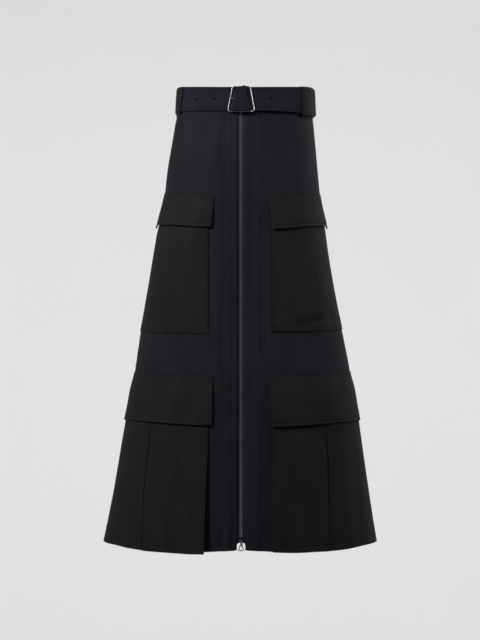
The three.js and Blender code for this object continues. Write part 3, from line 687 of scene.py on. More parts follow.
def twill(name, light, dark, sheen, sheen_tint, rough):
    """Cotton twill, piece-dyed and pressed: fine slanting ribs, a soft bloom of surface fibres.

    The ribs follow the piece's own UV map, which is in metres along the threads. A real rib of this
    cloth is 0.6 mm wide, and it is drawn at 1.3 mm because a finer one can't show in the render.
    """
    tree, shader = new_material(name)
    uv = add_node(tree, "ShaderNodeTexCoord")
    slant = add_node(
        tree,
        "ShaderNodeMapping",
        inputs={"Rotation": (0, 0, math.radians(RIB_SLANT))},
        links={"Vector": (uv, "UV")},
    )
    rib = add_node(
        tree,
        "ShaderNodeTexWave",
        {"wave_type": "BANDS", "bands_direction": "X", "wave_profile": "SIN"},
        {"Scale": math.pi / (10 * TWILL_RIB * MM), "Distortion": 1.2, "Detail": 2, "Detail Scale": 3},
        {"Vector": (slant, "Vector")},
    )
    stretched = add_node(
        tree, "ShaderNodeMapping", inputs={"Scale": (1, 0.16, 1)}, links={"Vector": (uv, "UV")}
    )
    hanging = add_node(
        tree, "ShaderNodeMapping", inputs={"Scale": (1, 0.3, 1)}, links={"Vector": (uv, "UV")}
    )
    slub = add_node(
        tree,
        "ShaderNodeTexNoise",
        inputs={"Scale": 420, "Detail": 4, "Roughness": 0.6},
        links={"Vector": (stretched, "Vector")},
    )
    cloud = add_node(
        tree,
        "ShaderNodeTexNoise",
        inputs={"Scale": 24, "Detail": 2, "Roughness": 0.5},
        links={"Vector": (hanging, "Vector")},
    )
    blend = add_node(
        tree,
        "ShaderNodeMath",
        {"operation": "MULTIPLY_ADD"},
        {1: 0.45},
        {0: (slub, "Fac"), 2: (cloud, "Fac")},
    )
    colour = add_node(
        tree,
        "ShaderNodeMapRange",
        inputs={"From Min": 0.45, "From Max": 0.98, "To Min": 0, "To Max": 1},
        links={"Value": (blend, "Value")},
    )
    dyed = dyed_between(tree, dark, light, (colour, "Result"))
    ribs = add_node(
        tree,
        "ShaderNodeMix",
        {"data_type": "RGBA", "blend_type": "MULTIPLY"},
        {0: 0.3},
        {6: (dyed, 2), 7: (rib, "Color")},
    )
    tree.links.new(ribs.outputs[2], shader.inputs["Base Color"])
    raised = add_node(
        tree,
        "ShaderNodeMath",
        {"operation": "MULTIPLY_ADD"},
        {1: 0.6},
        {0: (slub, "Fac"), 2: (rib, "Fac")},
    )
    relief = add_node(
        tree,
        "ShaderNodeBump",
        inputs={"Strength": 0.35, "Distance": 0.00022},
        links={"Height": (raised, "Value")},
    )
    tree.links.new(relief.outputs["Normal"], shader.inputs["Normal"])
    shader.inputs["Roughness"].default_value = rough
    shader.inputs["Specular IOR Level"].default_value = 0.2
    shader.inputs["Sheen Weight"].default_value = sheen
    shader.inputs["Sheen Roughness"].default_value = 0.45
    shader.inputs["Sheen Tint"].default_value = hexed(sheen_tint)


def spun_thread(name, light, dark):
    """Polyester sewing thread: two plies twisted together, with a faint silky gloss."""
    tree, shader = new_material(name)
    place = add_node(tree, "ShaderNodeTexCoord")
    ply = add_node(
        tree,
        "ShaderNodeTexWave",
        {"wave_type": "BANDS", "bands_direction": "DIAGONAL"},
        {"Scale": 420, "Distortion": 0.5},
        {"Vector": (place, "Object")},
    )
    dyed = dyed_between(tree, dark, light, (ply, "Fac"))
    tree.links.new(dyed.outputs[2], shader.inputs["Base Color"])
    shader.inputs["Roughness"].default_value = 0.8
    shader.inputs["Specular IOR Level"].default_value = 0.15


def woven_tape(name, light, dark):
    """Polyester zip tape, woven in fine upright ribs and dyed near black."""
    tree, shader = new_material(name)
    uv = add_node(tree, "ShaderNodeTexCoord")
    rib = add_node(
        tree,
        "ShaderNodeTexWave",
        {"wave_type": "BANDS", "bands_direction": "X"},
        {"Scale": math.pi / (10 * TAPE_RIB * MM), "Distortion": 0.8, "Detail": 1},
        {"Vector": (uv, "UV")},
    )
    dyed = dyed_between(tree, dark, light, (rib, "Fac"))
    tree.links.new(dyed.outputs[2], shader.inputs["Base Color"])
    relief = add_node(
        tree,
        "ShaderNodeBump",
        inputs={"Strength": 0.4, "Distance": 0.0002},
        links={"Height": (rib, "Fac")},
    )
    tree.links.new(relief.outputs["Normal"], shader.inputs["Normal"])
    shader.inputs["Roughness"].default_value = 0.78


def plated_metal(name, light, dark, rough, wear):
    """Nickel plate over brass or zinc, polished by tumbling: clear reflections, fine rub marks."""
    tree, shader = new_material(name)
    place = add_node(tree, "ShaderNodeTexCoord")
    rubbed = add_node(
        tree,
        "ShaderNodeTexNoise",
        inputs={"Scale": 900, "Detail": 5, "Roughness": 0.7},
        links={"Vector": (place, "Object")},
    )
    cloud = add_node(
        tree,
        "ShaderNodeTexNoise",
        inputs={"Scale": 90, "Detail": 2},
        links={"Vector": (place, "Object")},
    )
    tone = dyed_between(tree, dark, light, (cloud, "Fac"))
    tree.links.new(tone.outputs[2], shader.inputs["Base Color"])
    gloss = add_node(
        tree,
        "ShaderNodeMapRange",
        inputs={"From Min": 0.3, "From Max": 0.7, "To Min": rough - wear, "To Max": rough + wear},
        links={"Value": (rubbed, "Fac")},
    )
    tree.links.new(gloss.outputs["Result"], shader.inputs["Roughness"])
    shader.inputs["Metallic"].default_value = 1


def painted_paper(name, code):
    """Seamless studio paper, matt and even."""
    _, shader = new_material(name)
    shader.inputs["Base Color"].default_value = hexed(code)
    shader.inputs["Roughness"].default_value = 0.95
    shader.inputs["Specular IOR Level"].default_value = 0.1


# Each finish with its material, named for what it is and how it was finished
FINISHES = {
    "navy_twill": "navy_cotton_twill_piece_dyed",
    "black_twill": "black_cotton_twill_piece_dyed",
    "navy_thread": "navy_polyester_thread_core_spun",
    "black_thread": "black_polyester_thread_core_spun",
    "zip_tape": "black_polyester_tape_woven",
    "zip_metal": "nickel_plated_brass_die_cut",
    "buckle_metal": "nickel_plated_steel_tumbled",
    "slider_metal": "black_nickel_zinc_die_cast",
    "pull_metal": "nickel_plated_zinc_die_cast",
    "studio_paper": "studio_paper_matt",
}


def material(finish):
    return bpy.data.materials[FINISHES[finish]]


def deselect():
    if bpy.context.object and bpy.context.object.mode != "OBJECT":
        bpy.ops.object.mode_set(mode="OBJECT")
    bpy.ops.object.select_all(action="DESELECT")


def pick(piece):
    """Selects one piece alone and makes it active."""
    deselect()
    piece.select_set(True)
    bpy.context.view_layer.objects.active = piece


def rename(piece, name):
    piece.name = name
    piece.data.name = name


def dress(piece, finish):
    """Gives a piece its one material."""
    piece.data.materials.clear()
    piece.data.materials.append(material(finish))


def put_on(piece, node, body=SKIRT):
    """Attaches a piece to the body it rides on, and hides the CAD node that it stands for."""
    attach(piece, body)
    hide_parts(node)


def settle(piece):
    """Puts a piece's place into its mesh, so that its object sits unturned at the origin."""
    pick(piece)
    bpy.ops.object.transform_apply(location=True, rotation=True, scale=True)


def finish_with(piece, *modifiers):
    """Adds the modifiers in order and applies each one."""
    pick(piece)
    for kind, settings in modifiers:
        modifier = piece.modifiers.new(kind.title(), kind)
        for name, value in settings.items():
            setattr(modifier, name, value)
        bpy.ops.object.modifier_apply(modifier=modifier.name)


def rounded(width, segments, degrees):
    """A bevel, in millimetres, of the edges that turn by more than an angle."""
    return (
        "BEVEL",
        {
            "width": width * MM,
            "segments": segments,
            "limit_method": "ANGLE",
            "angle_limit": math.radians(degrees),
            "use_clamp_overlap": True,
        },
    )


def soften(piece, degrees=40):
    """Shades a piece smooth, except at edges that turn by more than an angle."""
    pick(piece)
    bpy.ops.object.shade_smooth_by_angle(angle=math.radians(degrees))


def laid_flat(points):
    """UV places in metres, as the cloth lies when it is cut: across each row and down the middle."""
    middle = len(points[0]) // 2
    down = [0.0]
    for above, below in zip(points, points[1:]):
        down.append(down[-1] + (below[middle] - above[middle]).length)
    places = []
    for row, depth in zip(points, down):
        across = [0.0]
        for first, second in zip(row, row[1:]):
            across.append(across[-1] + (second - first).length)
        places.append([((x - across[middle]) * MM, -depth * MM) for x in across])
    return places


# A cloth's edges are rounded by this share of its thickness
EDGE_ROUNDING = 0.45


def sheet_of(name, points, thickness, finish, offset=-1):
    """A sheet of cloth shaped on a grid primitive, given its thickness and rounded edges."""
    rows, columns = len(points), len(points[0])
    deselect()
    bpy.ops.mesh.primitive_grid_add(x_subdivisions=columns - 1, y_subdivisions=rows - 1, size=2)
    piece = bpy.context.object
    rename(piece, name)
    places = laid_flat(points)
    layer = piece.data.uv_layers.active.data
    spots = []
    for vertex in piece.data.vertices:
        i = round((vertex.co.x + 1) / 2 * (columns - 1))
        j = round((1 - vertex.co.y) / 2 * (rows - 1))
        spots.append((i, j))
    for vertex, (i, j) in zip(piece.data.vertices, spots):
        vertex.co = points[j][i] * MM
    for loop in piece.data.loops:
        i, j = spots[loop.vertex_index]
        layer[loop.index].uv = places[j][i]
    finish_with(
        piece,
        (
            "SOLIDIFY",
            {
                "thickness": thickness * MM,
                "offset": offset,
                "use_even_offset": True,
                "use_quality_normals": True,
            },
        ),
        rounded(thickness * EDGE_ROUNDING, 2, 55),
    )
    soften(piece)
    dress(piece, finish)
    return piece


def taken_apart(pattern):
    """The corners and faces of a piece that is modelled once, and then removed."""
    corners = [vertex.co.copy() for vertex in pattern.data.vertices]
    faces = [tuple(face.vertices) for face in pattern.data.polygons]
    bpy.data.objects.remove(pattern)
    return corners, faces


def piece_from(name, points, faces, finish, degrees):
    """A piece made of given corners and faces, in metres."""
    deselect()
    bpy.ops.mesh.primitive_plane_add()
    piece = bpy.context.object
    rename(piece, name)
    piece.data.clear_geometry()
    piece.data.from_pydata(points, [], faces)
    piece.data.update()
    soften(piece, degrees)
    dress(piece, finish)
    return piece


def stitch_pattern(length, radius):
    """One stitch, modelled once: a slim bead of thread that dips at both ends."""
    deselect()
    bpy.ops.mesh.primitive_uv_sphere_add(segments=5, ring_count=4, radius=1)
    bead = bpy.context.object
    for vertex in bead.data.vertices:
        x, y, z = vertex.co
        vertex.co = (z * length / 2, x * radius, y * radius)
    return taken_apart(bead)


def outward(point):
    """The direction straight out of the body at a point of it."""
    turn = math.atan2(point.x, -point.y)
    z = min(max(point.z, HEM_Z), 0)
    for _ in range(4):
        x, y, out_x, out_y, speed = section_point(turn, z)
        turn += ((point.x - x) * -out_y + (point.y - y) * out_x) / speed
    _, _, out_x, out_y, _ = section_point(turn, z)
    return Vector((out_x, out_y, 0))


STITCH_LIFT = 0.1


def sew(name, lines, finish, length, gap, radius):
    """Rows of stitches along lines of points, as one piece."""
    corners, faces = stitch_pattern(length, radius)
    points, sides = [], []
    for line in lines:
        carried = gap / 2
        for start, end in zip(line, line[1:]):
            run = end - start
            if run.length < 1e-6:
                continue
            way = run.normalized()
            out = outward((start + end) / 2)
            out = (out - way * out.dot(way)).normalized()
            across = out.cross(way)
            turned = Matrix((way, across, out)).transposed()
            while carried + length <= run.length + length / 2:
                middle = start + way * (carried + length / 2) + out * STITCH_LIFT
                base = len(points)
                points += [(turned @ corner + middle) * MM for corner in corners]
                sides += [[base + i for i in face] for face in faces]
                carried += length + gap
            carried -= run.length
    piece = piece_from(name, points, sides, finish, 80)
    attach(piece, SKIRT)
    return piece


def sewn_wall(wall, finish):
    """Makes a wall's sheet of cloth, attaches it to the skirt, and returns it with its rows."""
    points = wall.grid()
    piece = sheet_of(wall.name, points, wall.thickness, finish)
    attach(piece, SKIRT)
    return piece, wall.sewing_lines()


def takes_place_of(piece, node):
    """The finished piece stands for its CAD node and keeps its name with an ending."""
    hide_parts(node)
    rename(piece, node + "_cloth")


# What each kind of sewn edge has, as distances of its stitched rows from the edge
SEAM_ROWS = (4.6,)
ZIP_ROWS = (10.5,)
HEM_ROWS = (11.5,)
FLAP_ROWS = (5,)
POCKET_ROWS = (1.8, 7)
BELT_ROWS = (2.6, 6.4)


class SkirtCloth(bpy.types.PropertyGroup):
    """Colours and threads of the skirt."""

    navy_light: StringProperty(
        name="Navy, light", description="Light tone of the navy twill", default="#25262e"
    )
    navy_dark: StringProperty(
        name="Navy, dark", description="Dark tone of the navy twill", default="#191a22"
    )
    black_light: StringProperty(
        name="Black, light", description="Light tone of the black twill", default="#262627"
    )
    black_dark: StringProperty(
        name="Black, dark", description="Dark tone of the black twill", default="#1b1b1c"
    )
    stitch_length: FloatProperty(
        name="Stitch length",
        description="Length of one topstitch",
        default=0.0027,
        min=0.001,
        unit="LENGTH",
    )
    stitch_gap: FloatProperty(
        name="Stitch gap",
        description="Gap from one topstitch to the next",
        default=0.0009,
        min=0.0001,
        unit="LENGTH",
    )
    thread_radius: FloatProperty(
        name="Thread radius",
        description="Half the thickness of the topstitching thread",
        default=0.00032,
        min=0.0001,
        unit="LENGTH",
    )
    tooth_pitch: FloatProperty(
        name="Tooth pitch",
        description="Distance from one tooth of a side of the zip to the next",
        default=0.0024,
        min=0.001,
        unit="LENGTH",
    )


class SkirtStage(bpy.types.PropertyGroup):
    """The camera and the studio."""

    camera_distance: FloatProperty(
        name="Camera distance",
        description="Distance of the camera in front of the skirt",
        default=5.0,
        unit="LENGTH",
    )
    camera_height: FloatProperty(
        name="Camera height",
        description="Height of the camera from the waist",
        default=-0.3,
        unit="LENGTH",
    )
    lens: FloatProperty(
        name="Lens",
        description="Focal length in millimetres on a 36 mm sensor",
        default=141.8,
        min=10,
    )
    paper: StringProperty(name="Paper", description="Colour of the studio paper", default="#e8e8e8")


def cloth_settings():
    return bpy.context.scene.skirt_cloth


def stitch_sizes():
    settings = cloth_settings()
    return settings.stitch_length / MM, settings.stitch_gap / MM, settings.thread_radius / MM


class SKIRT_OT_materials(bpy.types.Operator):
    """Mixes the cloths, threads and metals"""

    bl_idname = "skirt.materials"
    bl_label = "Mix Materials"

    def execute(self, context):
        tones = cloth_settings()
        twill(FINISHES["navy_twill"], tones.navy_light, tones.navy_dark, 0.03, "#a5a7b8", 0.86)
        twill(FINISHES["black_twill"], tones.black_light, tones.black_dark, 0.03, "#a8a8a8", 0.88)
        spun_thread(FINISHES["navy_thread"], "#181920", "#0e0e13")
        spun_thread(FINISHES["black_thread"], "#181819", "#0e0e0e")
        woven_tape(FINISHES["zip_tape"], "#1f1f24", "#15151a")
        plated_metal(FINISHES["zip_metal"], "#c4c3c6", "#98989b", 0.4, 0.08)
        plated_metal(FINISHES["buckle_metal"], "#bcbdc0", "#a2a3a7", 0.26, 0.05)
        plated_metal(FINISHES["slider_metal"], "#3a3b3e", "#28292c", 0.5, 0.08)
        plated_metal(FINISHES["pull_metal"], "#d6d7d9", "#bfc0c3", 0.5, 0.06)
        return {"FINISHED"}


class SKIRT_OT_panels(bpy.types.Operator):
    """Sews the waistband and the six panels of the skirt"""

    bl_idname = "skirt.panels"
    bl_label = "Sew Band and Panels"

    def execute(self, context):
        lines = []
        bands = (
            ("waistband_front_left", turn_line(-SIDE_TURN), front_line(ZIP_EDGE_LEFT)),
            ("waistband_front_right", front_line(ZIP_EDGE_RIGHT), turn_line(SIDE_TURN)),
            ("waistband_back", turn_line(SIDE_TURN), turn_line(360 - SIDE_TURN)),
        )
        for name, start, end in bands:
            first, last = pinched(start, 1), pinched(end, -1)
            wall = Wall(
                name,
                first,
                last,
                lambda share, first=first, last=last: band_top(mix(first(0), last(0), share)),
                lambda share, first=first, last=last: band_bottom(mix(first(-45), last(-45), share)),
                BAND_CLOTH,
                rows={"top": (2.5,), "bottom": (2.5,)},
                sewn=("bottom",),
            )
            piece, rows = sewn_wall(wall, "navy_twill")
            takes_place_of(piece, name)
            lines += rows
        seam_left, seam_right = front_line(FRONT_SEAM_LEFT), front_line(FRONT_SEAM_RIGHT)
        panels = (
            ("side_front_left", turn_line(-SIDE_TURN), seam_left, (), SEAM_ROWS),
            ("center_front_left", seam_left, front_line(ZIP_EDGE_LEFT), SEAM_ROWS, ZIP_ROWS),
            ("center_front_right", front_line(ZIP_EDGE_RIGHT), seam_right, ZIP_ROWS, SEAM_ROWS),
            ("side_front_right", seam_right, turn_line(SIDE_TURN), SEAM_ROWS, ()),
            ("back_right", turn_line(SIDE_TURN), turn_line(180), (), SEAM_ROWS),
            ("back_left", turn_line(180), turn_line(360 - SIDE_TURN), SEAM_ROWS, ()),
        )
        for name, start, end, start_rows, end_rows in panels:
            first, last = pinched(start, 1), pinched(end, -1)
            zip_edge = {"center_front_left": 1, "center_front_right": 0}.get(name)

            def lower_edge(share, first=first, last=last, zip_edge=zip_edge):
                low = hem_at(mix(first(HEM_Z), last(HEM_Z), share))
                if zip_edge is None:
                    return low
                width = abs(last(HEM_Z) - first(HEM_Z)) * speed_at(last(HEM_Z), HEM_Z)
                return low + hem_corner(abs(share - zip_edge) * width)

            sewn = tuple(
                edge
                for edge, rows in (("start", start_rows), ("end", end_rows), ("top", ()))
                if rows != ZIP_ROWS
            )
            def upper_edge(share, first=first, last=last):
                return band_bottom(mix(first(-50), last(-50), share)) - SEAM_GAP

            wall = Wall(
                name,
                first,
                last,
                upper_edge,
                lower_edge,
                PANEL_CLOTH,
                rows={"start": start_rows, "end": end_rows, "top": (3,), "bottom": HEM_ROWS},
                sewn=sewn,
            )
            piece, rows = sewn_wall(wall, "navy_twill")
            takes_place_of(piece, name)
            lines += rows
        sew("panel_topstitching", lines, "navy_thread", *stitch_sizes())
        self.allowances()
        return {"FINISHED"}

    def allowances(self):
        """The pressed-open seam allowances inside, and the turned-up hem over them."""
        behind = -PANEL_CLOTH - ALLOWANCE_CLOTH / 4
        seams = (
            ("front_left", front_line(FRONT_SEAM_LEFT)),
            ("front_right", front_line(FRONT_SEAM_RIGHT)),
            ("side_right", turn_line(SIDE_TURN)),
            ("center_back", turn_line(180)),
            ("side_left", turn_line(360 - SIDE_TURN)),
        )
        for place, seam in seams:
            middle = seam(-450)
            wall = Wall(
                f"seam_allowance_{place}",
                moved_along(seam, -ALLOWANCE_WIDTH),
                moved_along(seam, ALLOWANCE_WIDTH),
                lambda share, middle=middle: band_bottom(middle) + ALLOWANCE_WIDTH,
                lambda share, middle=middle: hem_at(middle) + 0.8,
                ALLOWANCE_CLOTH,
                out=lambda across, down: behind,
            )
            sewn_wall(wall, "navy_twill")
        start, end = front_line(ZIP_EDGE_RIGHT), front_line(ZIP_EDGE_LEFT)
        rings = (
            ("waist_seam_allowance", -BAND_HEIGHT + 8, -BAND_HEIGHT - 12, -BAND_CLOTH - ALLOWANCE_CLOTH / 4),
            ("turned_up_hem", None, None, behind - ALLOWANCE_CLOTH - 0.2),
        )
        for name, top, bottom, out in rings:
            level = top or HEM_Z
            first, last = start(level), end(level) + 2 * math.pi

            def edge_at(share, height, first=first, last=last):
                turn = mix(first, last, share)
                return hem_at(turn) + height if height > 0 else height - band_top(0) + band_top(turn)

            heights = (top, bottom) if top else (HEM_TURN, 0.6)
            wall = Wall(
                name,
                start,
                lambda z: end(z) + 2 * math.pi,
                lambda share, height=heights[0]: edge_at(share, height),
                lambda share, height=heights[1]: edge_at(share, height),
                ALLOWANCE_CLOTH,
                out=lambda across, down, out=out: out,
                step=9,
            )
            sewn_wall(wall, "navy_twill")


POCKET_OUT = LAY_GAP + POCKET_CLOTH
MOUTH_OUT = 0.4
MOUTH_REACH = 40


def pocket_lies(down):
    """How far out a pocket lies: it is pressed in at its mouth, under the flap."""
    return mix(MOUTH_OUT, POCKET_OUT, smooth(down, 0, MOUTH_REACH))


POCKET_FRONTS = {"left": POCKET_FRONT_LEFT, "right": POCKET_FRONT_RIGHT}
FLAP_FRONTS = {"left": FLAP_FRONT_LEFT, "right": FLAP_FRONT_RIGHT}
PLEATS = {"left": PLEAT_LEFT, "right": PLEAT_RIGHT}


def between_lines(side, front, back):
    """A side piece's first and last line, in the order of rising turn."""
    return (back, front) if side == "left" else (front, back)


def from_front(side, across):
    return 1 - across if side == "left" else across


def back_line(side, degrees):
    return turn_line(-degrees if side == "left" else degrees)


def front_and_back(side, front_rows, back_rows):
    """Stitched rows of a side piece, named by its first and last line."""
    first, last = (back_rows, front_rows) if side == "left" else (front_rows, back_rows)
    return {"start": first, "end": last}


class SKIRT_OT_pockets(bpy.types.Operator):
    """Sews on the upper patch pockets and the lower pleated pockets"""

    bl_idname = "skirt.pockets"
    bl_label = "Sew On Pockets"

    def execute(self, context):
        lines = []
        for side, mouth, bottom in UPPER_POCKETS:
            start, end = between_lines(
                side, front_line(POCKET_FRONTS[side]), back_line(side, POCKET_BACK_TURN)
            )
            name = f"upper_pocket_{side}"
            wall = Wall(
                name,
                start,
                end,
                lambda share, mouth=mouth: mouth,
                lambda share, bottom=bottom: bottom,
                POCKET_CLOTH,
                out=lambda across, down, height=mouth - bottom: pocket_lies(down * height)
                + UPPER_BELLY * math.sin(math.pi * across) * math.sin(math.pi * down),
                rows=front_and_back(side, (1.8,), (1.8,)) | {"bottom": POCKET_ROWS},
            )
            piece, rows = sewn_wall(wall, "black_twill")
            takes_place_of(piece, name)
            lines += rows
        for side, mouth, drop in LOWER_POCKETS:
            lines += self.lower_pocket(side, mouth, drop)
        sew("pocket_topstitching", lines, "black_thread", *stitch_sizes())
        return {"FINISHED"}

    def lower_pocket(self, side, mouth, drop):
        """The half before the pleat, with its loose front edge, and the half behind it."""
        pleat = front_line(PLEATS[side])
        height = mouth - HEM_Z
        towards_front = 1 if side == "left" else -1

        def front_out(across, down):
            away = from_front(side, across)
            loose = LOWER_STAND[side] * smooth(down, 0.15, 1) * (1 - away) ** 2
            lip = PLEAT_LIP * smooth(down, 0.2, 0.9) * smooth(away, 0.75, 1)
            return pocket_lies(down * height) + loose + lip

        def side_out(across, down):
            away = from_front(side, across)
            rise = PLEAT_RISE * smooth(away, 0.03, 0.2) * (1 - smooth(away, 0.7, 1))
            return pocket_lies(down * height) + rise * smooth(down, 0, 0.3)

        lines = []

        def behind(z):
            slot = straight_at(PLEAT_SLOTS[side], z)
            return pleat(z) - towards_front * slot / speed_at(pleat(z), z)

        halves = (
            ("front", front_line(POCKET_FRONTS[side]), pinched(pleat, towards_front), front_out, (2.2,), ()),
            ("side", behind, back_line(side, POCKET_BACK_TURN), side_out, (), (1.8,)),
        )
        for half, front, back, out, front_rows, back_rows in halves:
            name = f"lower_pocket_{half}_{side}"
            start, end = between_lines(side, front, back)
            front_drop = drop if half == "front" else 0
            wall = Wall(
                name,
                start,
                end,
                lambda share: mouth,
                lambda share, start=start, end=end, front_drop=front_drop: hem_at(
                    mix(start(HEM_Z), end(HEM_Z), share)
                )
                - front_drop * (1 - from_front(side, share)),
                POCKET_CLOTH,
                out=out,
                rows=front_and_back(side, front_rows, back_rows) | {"bottom": HEM_ROWS},
            )
            piece, rows = sewn_wall(wall, "black_twill")
            takes_place_of(piece, name)
            lines += rows
        return lines


class SKIRT_OT_flaps(bpy.types.Operator):
    """Sews the four flaps over the pockets' mouths"""

    bl_idname = "skirt.flaps"
    bl_label = "Sew On Flaps"

    def execute(self, context):
        lines = []
        for level, side, top_front, top_back, bottom, front_drop, back_drop, stand in FLAPS:
            start, end = between_lines(
                side, front_line(FLAP_FRONTS[side]), back_line(side, POCKET_BACK_TURN + FLAP_OVERHANG_TURN)
            )

            def lower_edge(share, side=side, bottom=bottom, front_drop=front_drop, back_drop=back_drop):
                away = from_front(side, share)
                return bottom - front_drop * (1 - smooth(away, 0, 0.5)) - back_drop * smooth(away, 0.8, 1)

            def flap_out(across, down, side=side, height=top_front - bottom, stand=stand):
                away = from_front(side, across)
                over_mouth = POCKET_OUT + LAY_GAP + FLAP_CLOTH
                rise = mix(FLAP_TOP_OUT, over_mouth, smooth(down * height, *FLAP_REACH))
                belly = FLAP_BELLY * smooth(down, 0.15, 0.6) * (1 - away)
                return rise + belly + stand * down**2.2 * mix(FLAP_FRONT_STAND, 1, away)

            name = f"{level}_flap_{side}"
            wall = Wall(
                name,
                start,
                end,
                lambda share, side=side, rows=(top_front, top_back): mix(*rows, from_front(side, share)),
                lower_edge,
                FLAP_CLOTH,
                out=flap_out,
                rows={"start": FLAP_ROWS, "end": FLAP_ROWS, "top": (2,), "bottom": FLAP_ROWS},
                step=5,
            )
            piece, rows = sewn_wall(wall, "black_twill")
            takes_place_of(piece, name)
            lines += rows
        sew("flap_topstitching", lines, "black_thread", *stitch_sizes())
        return {"FINISHED"}


STRAP_MIDDLE = STRAP_TOP - STRAP_HEIGHT / 2
ARC_STEPS = 720


@lru_cache(maxsize=1)
def waist_arc():
    """Distances along the waist at the middle of the strap, at even turns."""
    step = 2 * math.pi / ARC_STEPS
    arc = [0.0]
    for i in range(ARC_STEPS):
        arc.append(arc[-1] + speed_at((i + 0.5) * step, STRAP_MIDDLE) * step)
    return arc


def turn_along_waist(along):
    arc = waist_arc()
    laps = math.floor(along / arc[-1])
    rest = along - laps * arc[-1]
    low, high = 0, ARC_STEPS
    while high - low > 1:
        middle = (low + high) // 2
        low, high = (middle, high) if arc[middle] <= rest else (low, middle)
    share = (rest - arc[low]) / (arc[low + 1] - arc[low])
    return (laps + (low + share) / ARC_STEPS) * 2 * math.pi


def along_waist(turn):
    arc = waist_arc()
    position = turn / (2 * math.pi) * ARC_STEPS
    i = min(math.floor(position), ARC_STEPS - 1)
    return mix(arc[i], arc[i + 1], position - i)


def waist_point(along, z, out):
    x, y, out_x, out_y, _ = section_point(turn_along_waist(along), z)
    return Vector((x + out_x * out, y + out_y * out, z))


def lean_at(from_buckle, z):
    """The buckle's side bars lean, so beside them the strap's folds lean too."""
    height = (z - (BUCKLE_TOP + BUCKLE_FOOT) / 2) / (BUCKLE_TOP - BUCKLE_FOOT)
    reach = abs(from_buckle)
    share = smooth(reach, 3, 12) * (1 - smooth(reach, 27, 50))
    way = math.copysign(1, from_buckle)
    return -way * share * (BUCKLE_FOOT_HALF - BUCKLE_TOP_HALF) * height


def curved_through(rows, steps):
    """Points on a smooth curve through rows of numbers."""
    points = []
    for i in range(len(rows) - 1):
        p0, p1 = rows[max(i - 1, 0)], rows[i]
        p2, p3 = rows[i + 1], rows[min(i + 2, len(rows) - 1)]
        for step in range(steps):
            t = step / steps
            points.append(
                tuple(
                    0.5
                    * (
                        2 * b
                        + (c - a) * t
                        + (2 * a - 5 * b + 4 * c - d) * t * t
                        + (3 * b - a - 3 * c + d) * t**3
                    )
                    for a, b, c, d in zip(p0, p1, p2, p3)
                )
            )
    points.append(tuple(rows[-1]))
    return points


FOLD_RADIUS = WIRE_RADIUS + SEAM_GAP + 0.15 + STRAP_CLOTH / 2
STRAP_STEP = 4
# Turns in degrees: where the strap lies flat behind the buckle, on either side, and over itself
STRAP_FLAT_TURNS = (8, 348)
STRAP_OVER_TURN = 14


def strap_route():
    """The strap's middle line, as distances along the waist and out of it."""
    around = waist_arc()[-1]
    fold = list(FOLD_END)
    for degrees in range(80, 281, 25):
        angle = math.radians(degrees)
        fold.append((FOLD_RADIUS * math.cos(angle), BUCKLE_OUT + FOLD_RADIUS * math.sin(angle)))
    fold.append(FOLD_START)
    first, last = (along_waist(math.radians(turn)) for turn in STRAP_FLAT_TURNS)
    count = round((last - first) / STRAP_STEP)
    route = curved_through(fold, 3)
    route += [(mix(first, last, i / count), STRAP_ON_BAND) for i in range(count + 1)]
    buckle = [(around + along, out) for along, out in BUCKLE_ROUTE]
    route += curved_through(buckle, 3)
    first = around + along_waist(math.radians(STRAP_OVER_TURN))
    last = around + along_waist(math.radians(STRAP_TIP_TURN))
    count = round((last - first) / STRAP_STEP)
    return route + [(mix(first, last, i / count), STRAP_ON_STRAP) for i in range(count + 1)]


# The strap's top edge rises over the buckle's bar: where, how wide, how high
STRAP_CREST = 7.5
STRAP_CREST_SPREAD = 6
STRAP_CREST_RISE = 3
# Slanting creases in the cloth gathered through the buckle: how far apart, how deep
STRAP_CREASE_PITCH = 8
STRAP_CREASE_DEPTH = 0.7


def gathered_crease(from_buckle, down):
    """Relief of the creases that slant up through the buckle's left half."""
    slant = from_buckle * 0.75 + down
    share = bump(from_buckle + 7, 7) * smooth(down, 0, 6) * smooth(STRAP_HEIGHT - down, 0, 6)
    return -STRAP_CREASE_DEPTH * share * (0.5 + 0.5 * math.sin(2 * math.pi * slant / STRAP_CREASE_PITCH))


def strap_height_at(along, from_buckle, down, tip_start, tip_end, over_fold):
    """How high a point of the strap lies: its free end droops, and the buckle squeezes it."""
    share = down / STRAP_HEIGHT
    drop = STRAP_TIP_DROP * smooth(along, tip_start, tip_end) * mix(0.4, 1, share)
    drop += STRAP_FOOT_SAG * share * bump(from_buckle, 60)
    squeeze = STRAP_SQUEEZE * bump(abs(from_buckle) - STRAP_SQUEEZE_AT, 4) * (2 * share - 1)
    rise = STRAP_CREST_RISE * bump(from_buckle - STRAP_CREST, STRAP_CREST_SPREAD) * (1 - share) ** 2
    return STRAP_TOP - down - drop + (squeeze + rise if over_fold else 0)


def strap_grid():
    """The strap's middle surface, row by row from its top edge."""
    route = strap_route()
    around = waist_arc()[-1]
    tip_start = around + BUCKLE_FOOT_HALF
    near = edge_stations(BELT_ROWS)
    heights = spread_positions(STRAP_HEIGHT, near, near, 9)
    points = []
    for down in heights:
        row = []
        for along, out in route:
            from_buckle = along - around if along > around / 2 else along
            over_fold = along > around / 2 or out > BUCKLE_OUT
            z = strap_height_at(along, from_buckle, down, tip_start, route[-1][0], over_fold)
            crease = gathered_crease(from_buckle, down) if over_fold else 0
            row.append(waist_point(along + lean_at(from_buckle, STRAP_TOP - down), z, out + crease))
        points.append(row)
    return points


